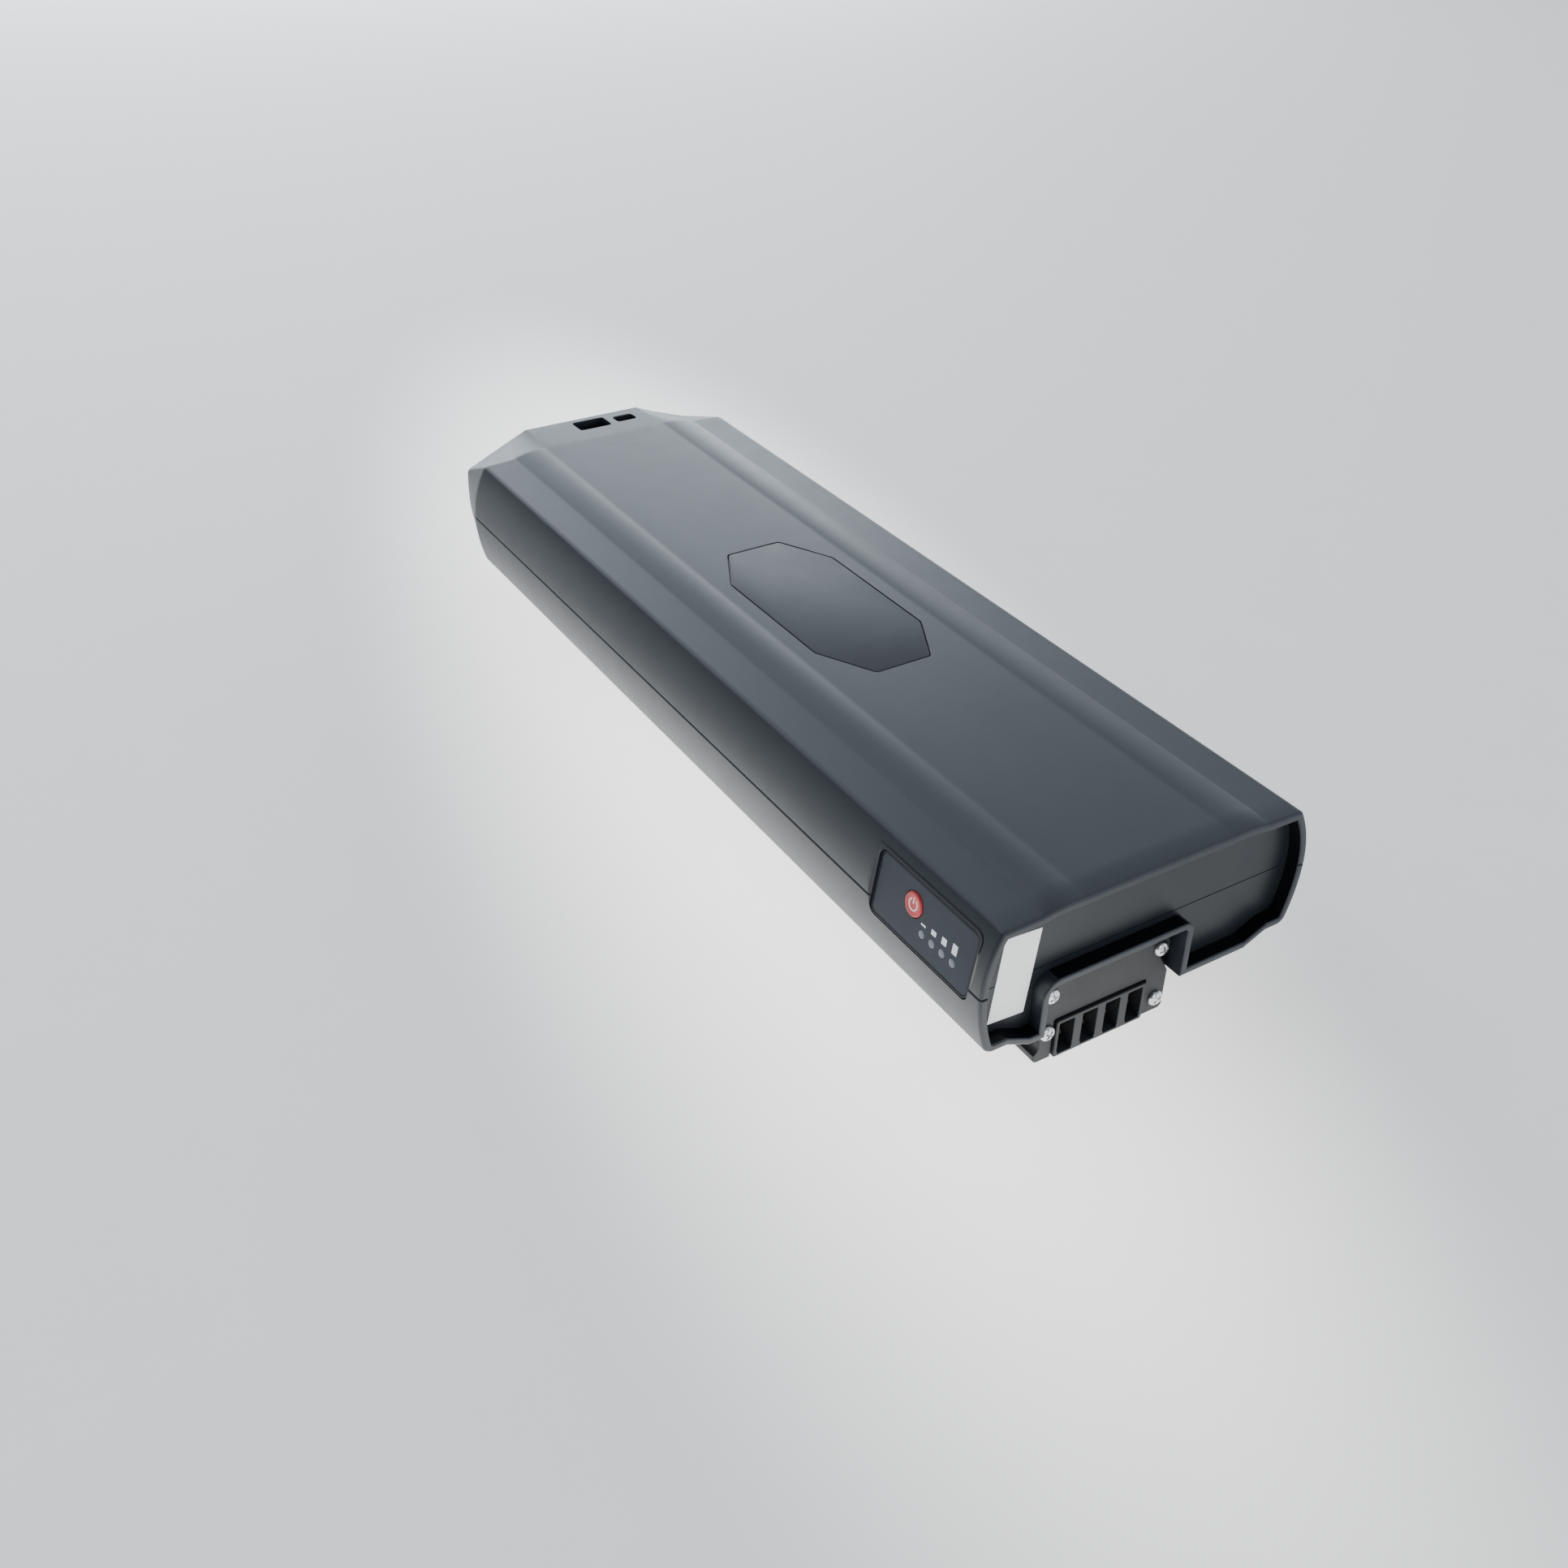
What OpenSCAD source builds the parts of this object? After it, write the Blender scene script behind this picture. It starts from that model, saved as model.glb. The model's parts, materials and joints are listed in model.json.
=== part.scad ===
// Rear-rack e-bike battery: two moulded shells over a pack of round cells, a power panel
// on the left flank, a four-way connector under the front end and a slide rail below.
// X is across the case, Y runs from the open front rim to the nose, Z is up from the rail.

/* [Case] */
// Room beside the cell blocks, out to the seam
side_room = 26.6; // [26:0.2:28.6]
// Length of the tapered nose
nose_len = 26; // [22:1:32]
// Height of the lower shell, from its flat underside to the seam
lower_h = 26.6; // [26:0.2:29]
// Height of the upper shell, from the seam to the shoulders
upper_h = 22.6; // [22.4:0.2:25]
// Rise of the raised centre above the shoulders
crown_h = 3; // [1:0.2:4]
// From the case's side to the raised centre
crown_in = 32; // [29:0.5:36]
// Width of each sloping band beside the raised centre
band_w = 11.5; // [8:0.5:14]
// From the case's side to the flat underside
flat_in = 21; // [20:0.5:23]
// From the case's side to the inner edge of a side foot
foot_in = 12; // [11:0.5:13]
// Height of the side feet above the flat underside
foot_rise = 4; // [3:0.2:5]
// Wall of both shells
wall = 2.8; // [2.4:0.1:2.9]
// Rounding of the long shoulder edges
shoulder_r = 2.6; // [2:0.1:4]
// Rounding of the long outer edges of the side feet
foot_r = 4; // [3:0.2:5]
// Radius of the upper flanks
upper_flank_r = 41; // [38:1:50]
// Radius of the lower flanks
lower_flank_r = 62; // [56:1:80]
// Depth of the shadow groove along the seam
seam_groove_d = 0.8; // [0.4:0.1:1.2]
// Height of the shadow groove along the seam
seam_groove_h = 0.5; // [0.3:0.1:0.8]

/* [Nose] */
// How far the nose narrows on each side
tip_in = 7.2; // [5:0.2:10]
// From the case's side to the flat on top of the nose tip
tip_crown_in = 38.3; // [36:0.1:42]
// Height of the nose tip's side corners above the seam
tip_corner_h = 12.8; // [10:0.2:16]
// How far the nose top falls to the tip
tip_fall = 0.8; // [0.2:0.1:2]
// How far the underside rises to the tip
tip_lift = 8; // [4:0.5:10]
// Edge break round the end of the nose
tip_break = 1.5; // [0.6:0.1:2]
// Wall of the nose end
tip_wall = 3; // [2.4:0.1:4]
// Length of the lock slot, across the nose
lock_slot_l = 15.2; // [12:0.2:17]
// Width of the lock slot
lock_slot_w = 10.2; // [8:0.2:11]
// Length of the latch slot, across the nose
latch_slot_l = 9.4; // [7:0.2:11]
// Width of the latch slot
latch_slot_w = 6.4; // [5:0.2:8]
// Web between the two slots
slot_web = 4; // [3:0.2:5]

/* [Front end] */
// Depth of the end wall behind the front rim
recess_d = 5.5; // [5.2:0.1:6]
// Thickness of the end walls
end_wall = 2.5; // [2:0.1:3]
// How far the end wall's seam lies below the side seam
seam_drop = 2.4; // [1.6:0.1:3]

/* [Connector] */
// Height of the rail and the connector below the shell's underside
rail_h = 15.5; // [15.2:0.1:18]
// Half width of the slide rail
rail_hw = 37.2; // [36:0.2:38]
// Width of the connector housing and its plate
holder_w = 53.1; // [52.6:0.1:53.4]
// Clearance of the housing in its bay, at the left, right and top
bay_gap = 0.9; // [0.6:0.1:1.2]
// Height of the connector bay above the shell's underside
bay_h = 19.6; // [19:0.1:20]
// Depth of the connector bay behind the rim
bay_d = 26; // [25.4:0.1:26.4]
// Wall of the connector bay
bay_wall = 2.4; // [2:0.1:2.6]
// Depth of the plate's face behind the rim
plate_y = 5; // [4.4:0.1:5.4]
// Thickness of the plate
plate_t = 2; // [1.6:0.1:2.2]
// Width of the four-way slot block
block_w = 36.1; // [35.6:0.1:36.6]
// How far the slot block stands proud of the plate
block_proud = 0.9; // [0.4:0.1:1.4]
// Pitch of the four slots
slot_pitch = 9.25; // [9:0.05:9.4]
// Width of each slot
slot_w = 5.9; // [5.4:0.1:6.2]
// Height of each slot
slot_h = 11.6; // [11:0.1:12]
// Depth of each slot
slot_depth = 13; // [12:0.5:13.5]
// Radius of the key groove along the left edge
key_r = 4.2; // [3.6:0.1:4.4]

/* [Power panel] */
// Length of the panel along the case
panel_len = 50; // [48:0.2:52]
// Height of the panel in its own tilted plane
panel_h = 23; // [22.4:0.2:23.6]
// Distance of the panel from the rim
panel_from_rim = 7; // [6.8:0.1:8]
// How far the panel's lower edge lies below the seam
panel_drop = 5.1; // [4.6:0.1:5.4]
// Corner rounding of the panel
panel_r = 2.6; // [1.6:0.1:4]
// Gap round the panel
panel_gap = 0.35; // [0.2:0.05:0.5]
// Diameter of the round power button
button_d = 8.2; // [7.6:0.1:8.6]
// Travel of the power button
button_travel = 0.6; // [0.3:0.1:0.6]
// Diameter of the four round lenses
lens_d = 3; // [2.4:0.1:3.2]
// Pitch of the lenses
lens_pitch = 5.1; // [5:0.1:5.8]

/* [Badge] */
// Length of the eight-sided badge
badge_len = 103.6; // [80:0.2:120]
// Width of the badge
badge_w = 45.6; // [36:0.2:50]
// Width of the badge's short ends
badge_end_w = 22.8; // [16:0.2:30]
// Length of each tapered end of the badge
badge_taper = 22; // [16:0.5:28]
// Thickness of the badge
badge_t = 0.9; // [0.6:0.1:1.2]
// Gap round the badge
badge_gap = 0.4; // [0.2:0.05:0.5]
// Distance of the badge's middle from the rim
badge_from_rim = 186; // [150:1:220]

/* [Cells] */
// Diameter of one cell
cell_d = 18.4; // [18:0.1:18.6]
// Length of one cell
cell_len = 65; // [64:0.1:65.1]
// Distance between the axes of neighbouring cells
cell_pitch = 19.2; // [19:0.1:19.4]
// Thickness of the cell frames
frame_t = 6; // [5:0.5:8]
// Thickness of the nickel strips
nickel_t = 0.2; // [0.1:0.05:0.25]
// Thickness of the sheets between the cell blocks
sheet_t = 0.5; // [0.3:0.1:0.6]
// Thickness of the foam under the cell blocks
foam_t = 2; // [1.6:0.1:2.2]
// Thickness of the foam behind the cell blocks
end_foam = 7.2; // [5:0.2:26]

/* [Fasteners] */
// Thread diameter of the plate, rail and case screws
screw_d = 3; // [2.6:0.1:3.2]
// Head diameter of those screws
head_d = 5.6; // [5:0.1:5.8]
// Head height of those screws
head_h = 1.9; // [1.4:0.1:2.2]

/* [Hidden] */
SHELL_NODES = ["top_shell", "bottom_shell", "seam_gasket", "badge_plate"];
PANEL_NODES = ["panel_bezel", "panel_membrane", "power_button", "switch_plunger", "switch_body",
    "panel_board", "status_leds", "board_screws", "lens_1", "lens_2", "lens_3", "lens_4"];
FRONT_NODES = ["connector_plate", "connector_housing", "slot_block", "terminal_1", "terminal_2",
    "terminal_3", "terminal_4", "lead_1", "lead_2", "lead_3", "lead_4", "plate_screws",
    "inspection_label", "slide_rail", "rail_screws", "case_screws"];
PACK_NODES = ["cells_1", "cells_2", "cells_3", "cells_4", "cells_5",
    "cell_frames_1", "cell_frames_2", "cell_frames_3", "cell_frames_4", "cell_frames_5",
    "nickel_strips_1", "nickel_strips_2", "nickel_strips_3", "nickel_strips_4",
    "nickel_strips_5", "insulator_1", "insulator_2", "insulator_3", "insulator_4",
    "foam_base", "foam_top", "foam_end", "bms_tape", "bms_board", "bms_heatsink",
    "bms_switches", "bms_terminals"];

// Overrun of every cut past the face that it opens
over = 1;
// Clearance of pieces that are pushed into each other and stay there
fit_gap = 0.05;
// Clearance of the button in its guide
run_gap = 0.1;
// Faces of one full round edge in a drawn outline
arc_steps = 6;
corner_steps = 4;
band_steps = 8;
$fn = 48;

cells_across = 4;
layers = 2;
blocks = 5;
pack_gap = 0.4;
pack_w = cells_across * cell_pitch;
pack_h = layers * cell_pitch;
block_pitch = cell_len + 2 * nickel_t + sheet_t + fit_gap;
pack_len = blocks * block_pitch - sheet_t - fit_gap;
case_w = pack_w + 2 * side_room;
body_len = bay_d + bay_wall + pack_gap + pack_len + end_foam + wall;
overall_len = body_len + nose_len;
flat_hw = case_w / 2 - flat_in;
foot_hw = case_w / 2 - foot_in;
crown_hw = case_w / 2 - crown_in;
tip_hw = case_w / 2 - tip_in;
tip_share = tip_hw / (case_w / 2);
tip_crown_hw = case_w / 2 - tip_crown_in;
y_rim = -overall_len / 2;
y_crease = y_rim + body_len;
y_tip = overall_len / 2;
y_wall = y_rim + recess_d;
y_cavity = y_wall + end_wall;
z_flat = rail_h;
z_foot = z_flat + foot_rise;
z_seam = z_flat + lower_h;
z_shoulder = z_seam + upper_h;
z_top = z_shoulder + crown_h;
z_end_seam = z_seam - seam_drop;

// Half width of the case's outside at a height
function flank_x(z) = let(r = z > z_seam ? upper_flank_r : lower_flank_r)
    case_w / 2 - r + sqrt(r * r - (z - z_seam) * (z - z_seam));

// Points of an arc round c from angle a0 to a1
function arc(c, r, a0, a1, steps) =
    [for (i = [0:steps]) let(a = a0 + (a1 - a0) * i / steps) [c[0] + r * cos(a), c[1] + r * sin(a)]];

// S-shaped line from a to b, or a straight one with ease 0
function band(a, b, t, ease) = [for (i = [0:band_steps])
    let(u = i / band_steps, v = ease * u * u * (3 - 2 * u) + (1 - ease) * u)
    [a[0] + (b[0] - a[0]) * u, a[1] + (b[1] - a[1]) * v - t]];

// Right half of a cross-section, from the underside round to the top, drawn in by t
function half_section(t, hw, under, foot, corner_z, corner_a, valley, crown, flank, ease) =
    let(rs = max(shoulder_r - t, fit_gap), rf = max(foot_r - t, fit_gap),
        up = flank - t - rs, low = lower_flank_r - t - rf,
        a_up = asin((corner_z - t - rs - z_seam) / up),
        a_low = asin((z_seam - foot[1] - t - rf) / low),
        c_up = [hw - flank + up * cos(a_up), corner_z - t - rs],
        c_low = [hw - lower_flank_r + low * cos(a_low), foot[1] + t + rf])
    concat([[under[0], under[1] + t], [foot[0], foot[1] + t]],
        arc(c_low, rf, -90, -a_low, corner_steps),
        arc([hw - lower_flank_r, z_seam], lower_flank_r - t, -a_low * (1 - 1 / arc_steps), 0,
            arc_steps - 1),
        arc([hw - flank, z_seam], flank - t, a_up / arc_steps, a_up * (1 - 1 / arc_steps),
            arc_steps - 2),
        arc(c_up, rs, a_up, corner_a, corner_steps),
        band(valley, crown, t, ease));

// Closed section from its right half
function whole(half) = concat(half, [for (i = [len(half) - 1:-1:0]) [-half[i][0], half[i][1]]]);

function body_section(t) = whole(half_section(t, case_w / 2, [flat_hw, z_flat], [foot_hw, z_foot],
    z_shoulder, 90, [crown_hw + band_w, z_shoulder], [crown_hw, z_top], upper_flank_r, 1));

// The nose tip: its top corners are cut down to a slope, and its flank stands nearly upright
tip_corner = [tip_hw - shoulder_r / 2, z_seam + tip_corner_h];
tip_crown = [tip_crown_hw, z_top - tip_fall];
tip_slope = atan((tip_crown[1] - tip_corner[1]) / (tip_corner[0] - tip_crown[0]));
tip_valley_share = 0.3;
tip_valley = tip_crown + (tip_corner - tip_crown) * tip_valley_share;
tip_flank_r = 3 * upper_flank_r;

function tip_section(t) = whole(half_section(t, tip_hw, [flat_hw * tip_share, z_flat + tip_lift],
    [foot_hw * tip_share, z_foot + tip_lift], z_seam + tip_corner_h, 90 - tip_slope,
    tip_valley, tip_crown, tip_flank_r, 0));

// Skin through sections that have the same number of points
module loft(sections, ys) {
    n = len(sections[0]);
    last = len(ys) - 1;
    polyhedron(
        points = [for (k = [0:last]) for (p = sections[k]) [p[0], ys[k], p[1]]],
        faces = concat(
            [[for (i = [n - 1:-1:0]) i], [for (i = [0:n - 1]) last * n + i]],
            [for (k = [0:last - 1]) for (i = [0:n - 1]) let(j = (i + 1) % n)
                [k * n + i, k * n + j, (k + 1) * n + j]],
            [for (k = [0:last - 1]) for (i = [0:n - 1]) let(j = (i + 1) % n)
                [k * n + i, (k + 1) * n + j, (k + 1) * n + i]]));
}

// An outline in X and Z, run along Y
module along_y(y0, y1) {
    translate([0, y1, 0]) rotate([90, 0, 0]) linear_extrude(y1 - y0) children();
}

module body_run(t, y0, y1) {
    along_y(y0, y1) polygon(body_section(t));
}

module box(low, high) {
    translate(low) cube(high - low);
}

module nose_run() {
    loft([body_section(0), tip_section(0), tip_section(tip_break)],
        [y_crease, y_tip - tip_break, y_tip]);
}

module nose_cavity() {
    loft([body_section(wall), tip_section(wall)], [y_crease, y_tip - tip_wall]);
}

// Outline with rounded corners, centred
module rounded(w, h, r) {
    hull() for (x = [-1, 1], y = [-1, 1]) translate([x * (w / 2 - r), y * (h / 2 - r)]) circle(r);
}

// Both shells as one hollow case
module hollow_case() {
    difference() {
        union() {
            body_run(0, y_rim, y_crease);
            nose_run();
        }
        body_run(wall, y_rim - over, y_wall);
        body_run(wall, y_cavity, y_crease - wall);
        nose_cavity();
    }
}

// Everything above the seam, with the end wall's lower lip
module upper_zone() {
    box([-case_w, y_rim - over, z_seam], [case_w, y_tip + over, z_top + over]);
    box([2 * wall - case_w / 2, y_wall, z_end_seam],
        [case_w / 2 - 2 * wall, y_cavity, z_seam + over]);
}

// Places of the case screws, in two rows along the side feet
screw_x = (foot_hw + case_w / 2 - foot_r - wall) / 2;
screw_first = 66;
screw_last = 18;
screw_rows = 4;
case_screw_ys = [for (i = [0:screw_rows - 1]) y_rim + screw_first
    + (body_len - screw_first - screw_last) * i / (screw_rows - 1)];
boss_r = 4.2;
screw_seat = 6;
screw_grip = 10;
head_gap = 0.3;

module at_case_screws() {
    for (x = [-screw_x, screw_x], y = case_screw_ys) translate([x, y, 0]) children();
}

// The panel's plane rests on the flank as a chord, leaning in towards the top
panel_z0 = z_seam - panel_drop;
panel_lean = atan((flank_x(panel_z0) - flank_x(panel_z0 + panel_h)) / panel_h);
panel_mid = [-flank_x(panel_z0) + panel_h / 2 * sin(panel_lean),
    y_rim + panel_from_rim + panel_len / 2, panel_z0 + panel_h / 2 * cos(panel_lean)];
tray_d = 2.6;
floor_t = 2;
tray_wall = 1.6;
tray_bottom = tray_d + floor_t;

// Panel frame: X towards the rim, Y up the slope, Z out of the case
module on_panel() {
    translate(panel_mid) rotate([0, panel_lean, 0]) rotate([90, 0, -90]) children();
}

// A plate or hole in the panel frame, from depth a to depth b below its face
module layer(a, b) {
    translate([0, 0, -b]) linear_extrude(b - a) children();
}

module tray_block() {
    intersection() {
        on_panel() layer(0, tray_bottom)
            rounded(panel_len + 2 * tray_wall, panel_h + 2 * tray_wall, panel_r + tray_wall);
        body_run(wall / 2, y_wall, y_rim + panel_from_rim + panel_len + 2 * tray_wall);
    }
}

module tray_cut() {
    on_panel() {
        translate([0, 0, -tray_d]) linear_extrude(tray_d + wall)
            rounded(panel_len + 2 * panel_gap, panel_h + 2 * panel_gap, panel_r + panel_gap);
        layer(0, tray_bottom + over) {
            at_button() circle(stem_d / 2 + head_gap);
            at_lenses() circle(lens_d / 2 + fit_gap);
        }
    }
}

// Depths of the switch and its board below the panel's face
face_sink = 0.1;
membrane_t = 0.4;
membrane_d = face_sink + membrane_t;
frame_w = 0.6;
button_proud = 0.4;
guide_d = 1.4;
flange_t = 0.45;
flange_w = 0.8;
stem_d = 3;
plunger_top = 5.2;
plunger_len = 1.8;
switch_top = 6;
board_top = 7.9;
board_t = 1.6;
board_side = 3;
board_l = panel_len - 2 * board_side;
board_h = 16;
board_up = 2;
post_x = board_l / 2 - board_side;
post_y = 5;
post_r = 2.4;
board_screw_d = 2;
board_head_d = 3.8;
board_head_h = 1.3;
switch_w = 6;
led_l = 2;
led_w = 1.6;
led_t = 0.4;
button_at = [-5.9, 2.8];
lens_at = [0.2, -4.2];

module at_button() {
    translate(button_at) children();
}

module at_lenses() {
    for (i = [0:3]) translate(lens_at + [i * lens_pitch, 0]) children();
}

module at_posts() {
    for (x = [-post_x, post_x]) translate([x, post_y]) children();
}

// Left and right faces of the connector housing, and the bay that takes it
holder_x0 = -rail_hw;
holder_x1 = holder_x0 + holder_w;
holder_top = z_flat + bay_h - bay_gap;
bay_x0 = holder_x0 - bay_gap;
bay_x1 = holder_x1 + bay_gap;
bay_r = 4;
bay_r_right = 1.5;
bay_top = z_flat + bay_h;
y_plate = y_rim + plate_y;
y_holder = y_plate + plate_t;
y_holder_back = y_rim + bay_d - bay_gap / 3;

// Outline of the bay, grown by g, open downwards
module bay_outline(g) {
    hull() {
        translate([bay_x0 + bay_r, bay_top - bay_r]) circle(bay_r + g);
        translate([bay_x1 - bay_r_right, bay_top - bay_r_right]) circle(bay_r_right + g);
        translate([bay_x0 - g, z_flat]) square([bay_x1 - bay_x0 + 2 * g, bay_r]);
    }
}

// Centres of the four leads where they rise through the roof of the bay
block_inset = 7.55;
block_drop = 0.6;
block_x0 = holder_x0 + block_inset;
block_mid = block_x0 + block_w / 2;
block_top = z_flat - block_drop;
block_y = y_plate - block_proud;
block_len = 16;
block_gap = 0.3;
lead_r = 1.6;
lead_from_rim = 22.4;
lead_y = y_rim + lead_from_rim;
lead_hole_r = 2;
function slot_x(i) = block_mid + (i - 1.5) * slot_pitch;

module at_leads() {
    for (i = [0:3]) translate([slot_x(i), lead_y, 0]) children();
}

// Screws of the connector plate: X and Z of each
ear_r = 4.3;
screw_side = 4.1;
ear_side = 5;
screw_up = 11.2;
left_drop = 3.9;
right_drop = 9.7;
plate_screws_at = [[holder_x0 + screw_side, z_flat + screw_up],
    [holder_x0 + screw_side, z_flat - left_drop], [holder_x1 - ear_side, z_flat + screw_up],
    [holder_x1 - screw_side, z_flat - right_drop]];
plate_screw_len = 9;

module at_plate_screws(y) {
    for (p = plate_screws_at) translate([p[0], y, p[1]]) rotate([90, 0, 0]) children();
}

module key_groove() {
    translate([holder_x0 - key_r / 2 + fit_gap, rail_h * 0.45]) circle(key_r);
}

// Slots in the top of the nose
slot_r = 1.4;
slot_back = 3.2;
lock_side = 1;
latch_forward = 0.6;
slot_mid_y = (y_crease + y_tip) / 2 + slot_back;
lock_at = [lock_side, slot_mid_y];
latch_at = [lock_side + lock_slot_l / 2 + slot_web + latch_slot_l / 2,
    slot_mid_y - latch_forward];

module nose_slots() {
    translate([0, 0, z_seam + tip_corner_h]) linear_extrude(upper_h) {
        translate(lock_at) rounded(lock_slot_l, lock_slot_w, slot_r);
        translate(latch_at) rounded(latch_slot_l, latch_slot_w, slot_r);
    }
}

module badge_outline(g) {
    w = badge_w / 2;
    e = badge_end_w / 2;
    l = badge_len / 2;
    k = l - badge_taper;
    translate([0, y_rim + badge_from_rim]) offset(delta = g)
        polygon([[-e, -l], [e, -l], [w, -k], [w, k], [e, l], [-e, l], [-w, k], [-w, -k]]);
}

module seam_groove() {
    difference() {
        box([-case_w, y_rim - over, z_seam - fit_gap],
            [case_w, y_tip + over, z_seam + seam_groove_h]);
        body_run(seam_groove_d, y_rim - 2 * over, y_crease);
        loft([body_section(seam_groove_d), tip_section(seam_groove_d)],
            [y_crease, y_tip - seam_groove_d]);
    }
    box([2 * wall - case_w / 2, y_wall - over, z_end_seam - fit_gap],
        [case_w / 2 - 2 * wall, y_wall + seam_groove_d, z_end_seam + seam_groove_h]);
}

// Gasket that lies in the middle of the side walls and round the nose
gasket_w = 1;
gasket_h = 0.8;

module gasket_run(grow) {
    a = (wall - gasket_w) / 2 - grow;
    b = a + gasket_w + 2 * grow;
    difference() {
        intersection() {
            union() {
                body_run(a, y_cavity, y_crease);
                loft([body_section(a), tip_section(a)], [y_crease, y_tip - a]);
            }
            box([-case_w, y_cavity, z_seam - gasket_h], [case_w, y_tip, z_seam]);
        }
        body_run(b, y_cavity - over, y_crease);
        loft([body_section(b), tip_section(b)], [y_crease, y_tip - b]);
        translate([0, y_rim, 0]) on_gasket_panel();
    }
}

// The gasket stops at both ends of the power panel
module on_gasket_panel() {
    box([-case_w, 0, z_seam - 2 * gasket_h],
        [0, panel_from_rim + panel_len + 2 * tray_wall, z_seam + gasket_h]);
}

module top_shell() color([0.17, 0.19, 0.21]) {
    difference() {
        union() {
            intersection() {
                union() {
                    hollow_case();
                    tray_block();
                }
                upper_zone();
            }
            intersection() {
                at_case_screws() translate([0, 0, z_seam]) cylinder(r = boss_r, h = upper_h);
                body_run(wall / 2, y_cavity, y_crease);
            }
            on_panel() layer(tray_d, board_top) at_posts() circle(post_r);
        }
        seam_groove();
        tray_cut();
        nose_slots();
        translate([0, 0, z_top - badge_t - face_sink]) linear_extrude(crown_h)
            badge_outline(badge_gap);
        at_case_screws() translate([0, 0, z_seam - over])
            cylinder(d = screw_d + 2 * fit_gap, h = screw_grip + 2 * over);
        on_panel() layer(board_top - 3 * board_t, board_top + over) at_posts()
            circle(board_screw_d / 2 + fit_gap);
    }
}

module bottom_shell() color([0.15, 0.17, 0.19]) {
    difference() {
        union() {
            difference() {
                hollow_case();
                upper_zone();
            }
            difference() {
                tray_block();
                upper_zone();
            }
            intersection() {
                at_case_screws() cylinder(r = boss_r, h = z_seam);
                body_run(wall / 2, y_cavity, y_crease);
                box([-case_w, y_rim, 0], [case_w, y_crease, z_seam]);
            }
            along_y(y_rim, y_rim + bay_d + bay_wall) bay_outline(bay_wall);
        }
        tray_cut();
        along_y(y_rim - over, y_rim + bay_d) {
            bay_outline(0);
            translate([bay_x0, -over]) square([bay_x1 - bay_x0, z_flat + 2 * over]);
        }
        at_leads() translate([0, 0, bay_top - over]) cylinder(r = lead_hole_r, h = bay_wall + 2 * over);
        at_case_screws() {
            cylinder(d = head_d + 2 * head_gap, h = z_seam - screw_seat);
            cylinder(d = screw_d + 2 * fit_gap, h = z_seam + over);
        }
        gasket_run(fit_gap);
        at_rail_screws() translate([0, 0, z_flat - over])
            cylinder(d = screw_d + 2 * fit_gap, h = over + wall - head_gap);
    }
}

module seam_gasket() color([0.08, 0.08, 0.09]) gasket_run(0);

module badge_plate() color([0.12, 0.13, 0.15])
    translate([0, 0, z_top - badge_t - face_sink]) linear_extrude(badge_t) badge_outline(0);

module panel_bezel() color([0.13, 0.14, 0.16]) on_panel() difference() {
    union() {
        layer(frame_w / 2, tray_d) rounded(panel_len, panel_h, panel_r);
        layer(0, frame_w) rounded(panel_len - frame_w, panel_h - frame_w, panel_r);
    }
    layer(-over, membrane_d) rounded(panel_len - 2 * frame_w, panel_h - 2 * frame_w,
        panel_r - frame_w);
    layer(-over, tray_d + over) {
        at_button() circle(button_d / 2 + run_gap);
        at_lenses() circle(lens_d / 2 + fit_gap);
    }
    layer(guide_d, tray_d + over) at_button() circle(button_d / 2 + flange_w + head_gap);
}

module panel_membrane() color([0.2, 0.22, 0.25]) on_panel() difference() {
    layer(face_sink, membrane_d) rounded(panel_len - 2 * frame_w - panel_gap,
        panel_h - 2 * frame_w - panel_gap, panel_r - frame_w);
    layer(-over, membrane_d + over) {
        at_button() circle(button_d / 2 + head_gap);
        at_lenses() circle(lens_d / 2 + fit_gap);
    }
}

module power_button() color([0.82, 0.14, 0.13]) on_panel() at_button() {
    rim = button_d / 2;
    dish = button_proud / 2;
    flange_top = guide_d + fit_gap;
    rotate_extrude() polygon([[0, dish], [rim * 0.7, button_proud], [rim * 0.9, button_proud],
        [rim, dish], [rim, -flange_top], [rim + flange_w, -flange_top],
        [rim + flange_w, -flange_top - flange_t], [stem_d / 2, -flange_top - flange_t],
        [stem_d / 2, -plunger_top], [0, -plunger_top]]);
}

module switch_plunger() color([0.9, 0.88, 0.8]) on_panel() at_button()
    layer(plunger_top, plunger_top + plunger_len) circle(stem_d / 2);

module switch_body() color([0.1, 0.1, 0.1]) on_panel() at_button() difference() {
    layer(switch_top, board_top) square(switch_w, center = true);
    layer(switch_top - over, board_top - face_sink) circle(stem_d / 2 + run_gap);
}

module panel_board() color([0.1, 0.35, 0.2]) on_panel() difference() {
    layer(board_top, board_top + board_t) translate([0, board_up])
        square([board_l, board_h], center = true);
    layer(board_top - over, board_top + board_t + over) at_posts()
        circle(board_screw_d / 2 + fit_gap);
}

module status_leds() color([0.95, 0.95, 0.9]) on_panel() at_lenses()
    layer(board_top - led_t, board_top) square([led_l, led_w], center = true);

module board_screws() color([0.75, 0.75, 0.77]) on_panel() at_posts() {
    layer(board_top - board_t, board_top + board_t) circle(board_screw_d / 2);
    layer(board_top + board_t, board_top + board_t + board_head_h) circle(board_head_d / 2);
}

module lens(i) color([0.55, 0.62, 0.68]) on_panel() translate(lens_at + [i * lens_pitch, 0])
    layer(face_sink, board_top - led_t - face_sink) circle(lens_d / 2);

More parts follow.
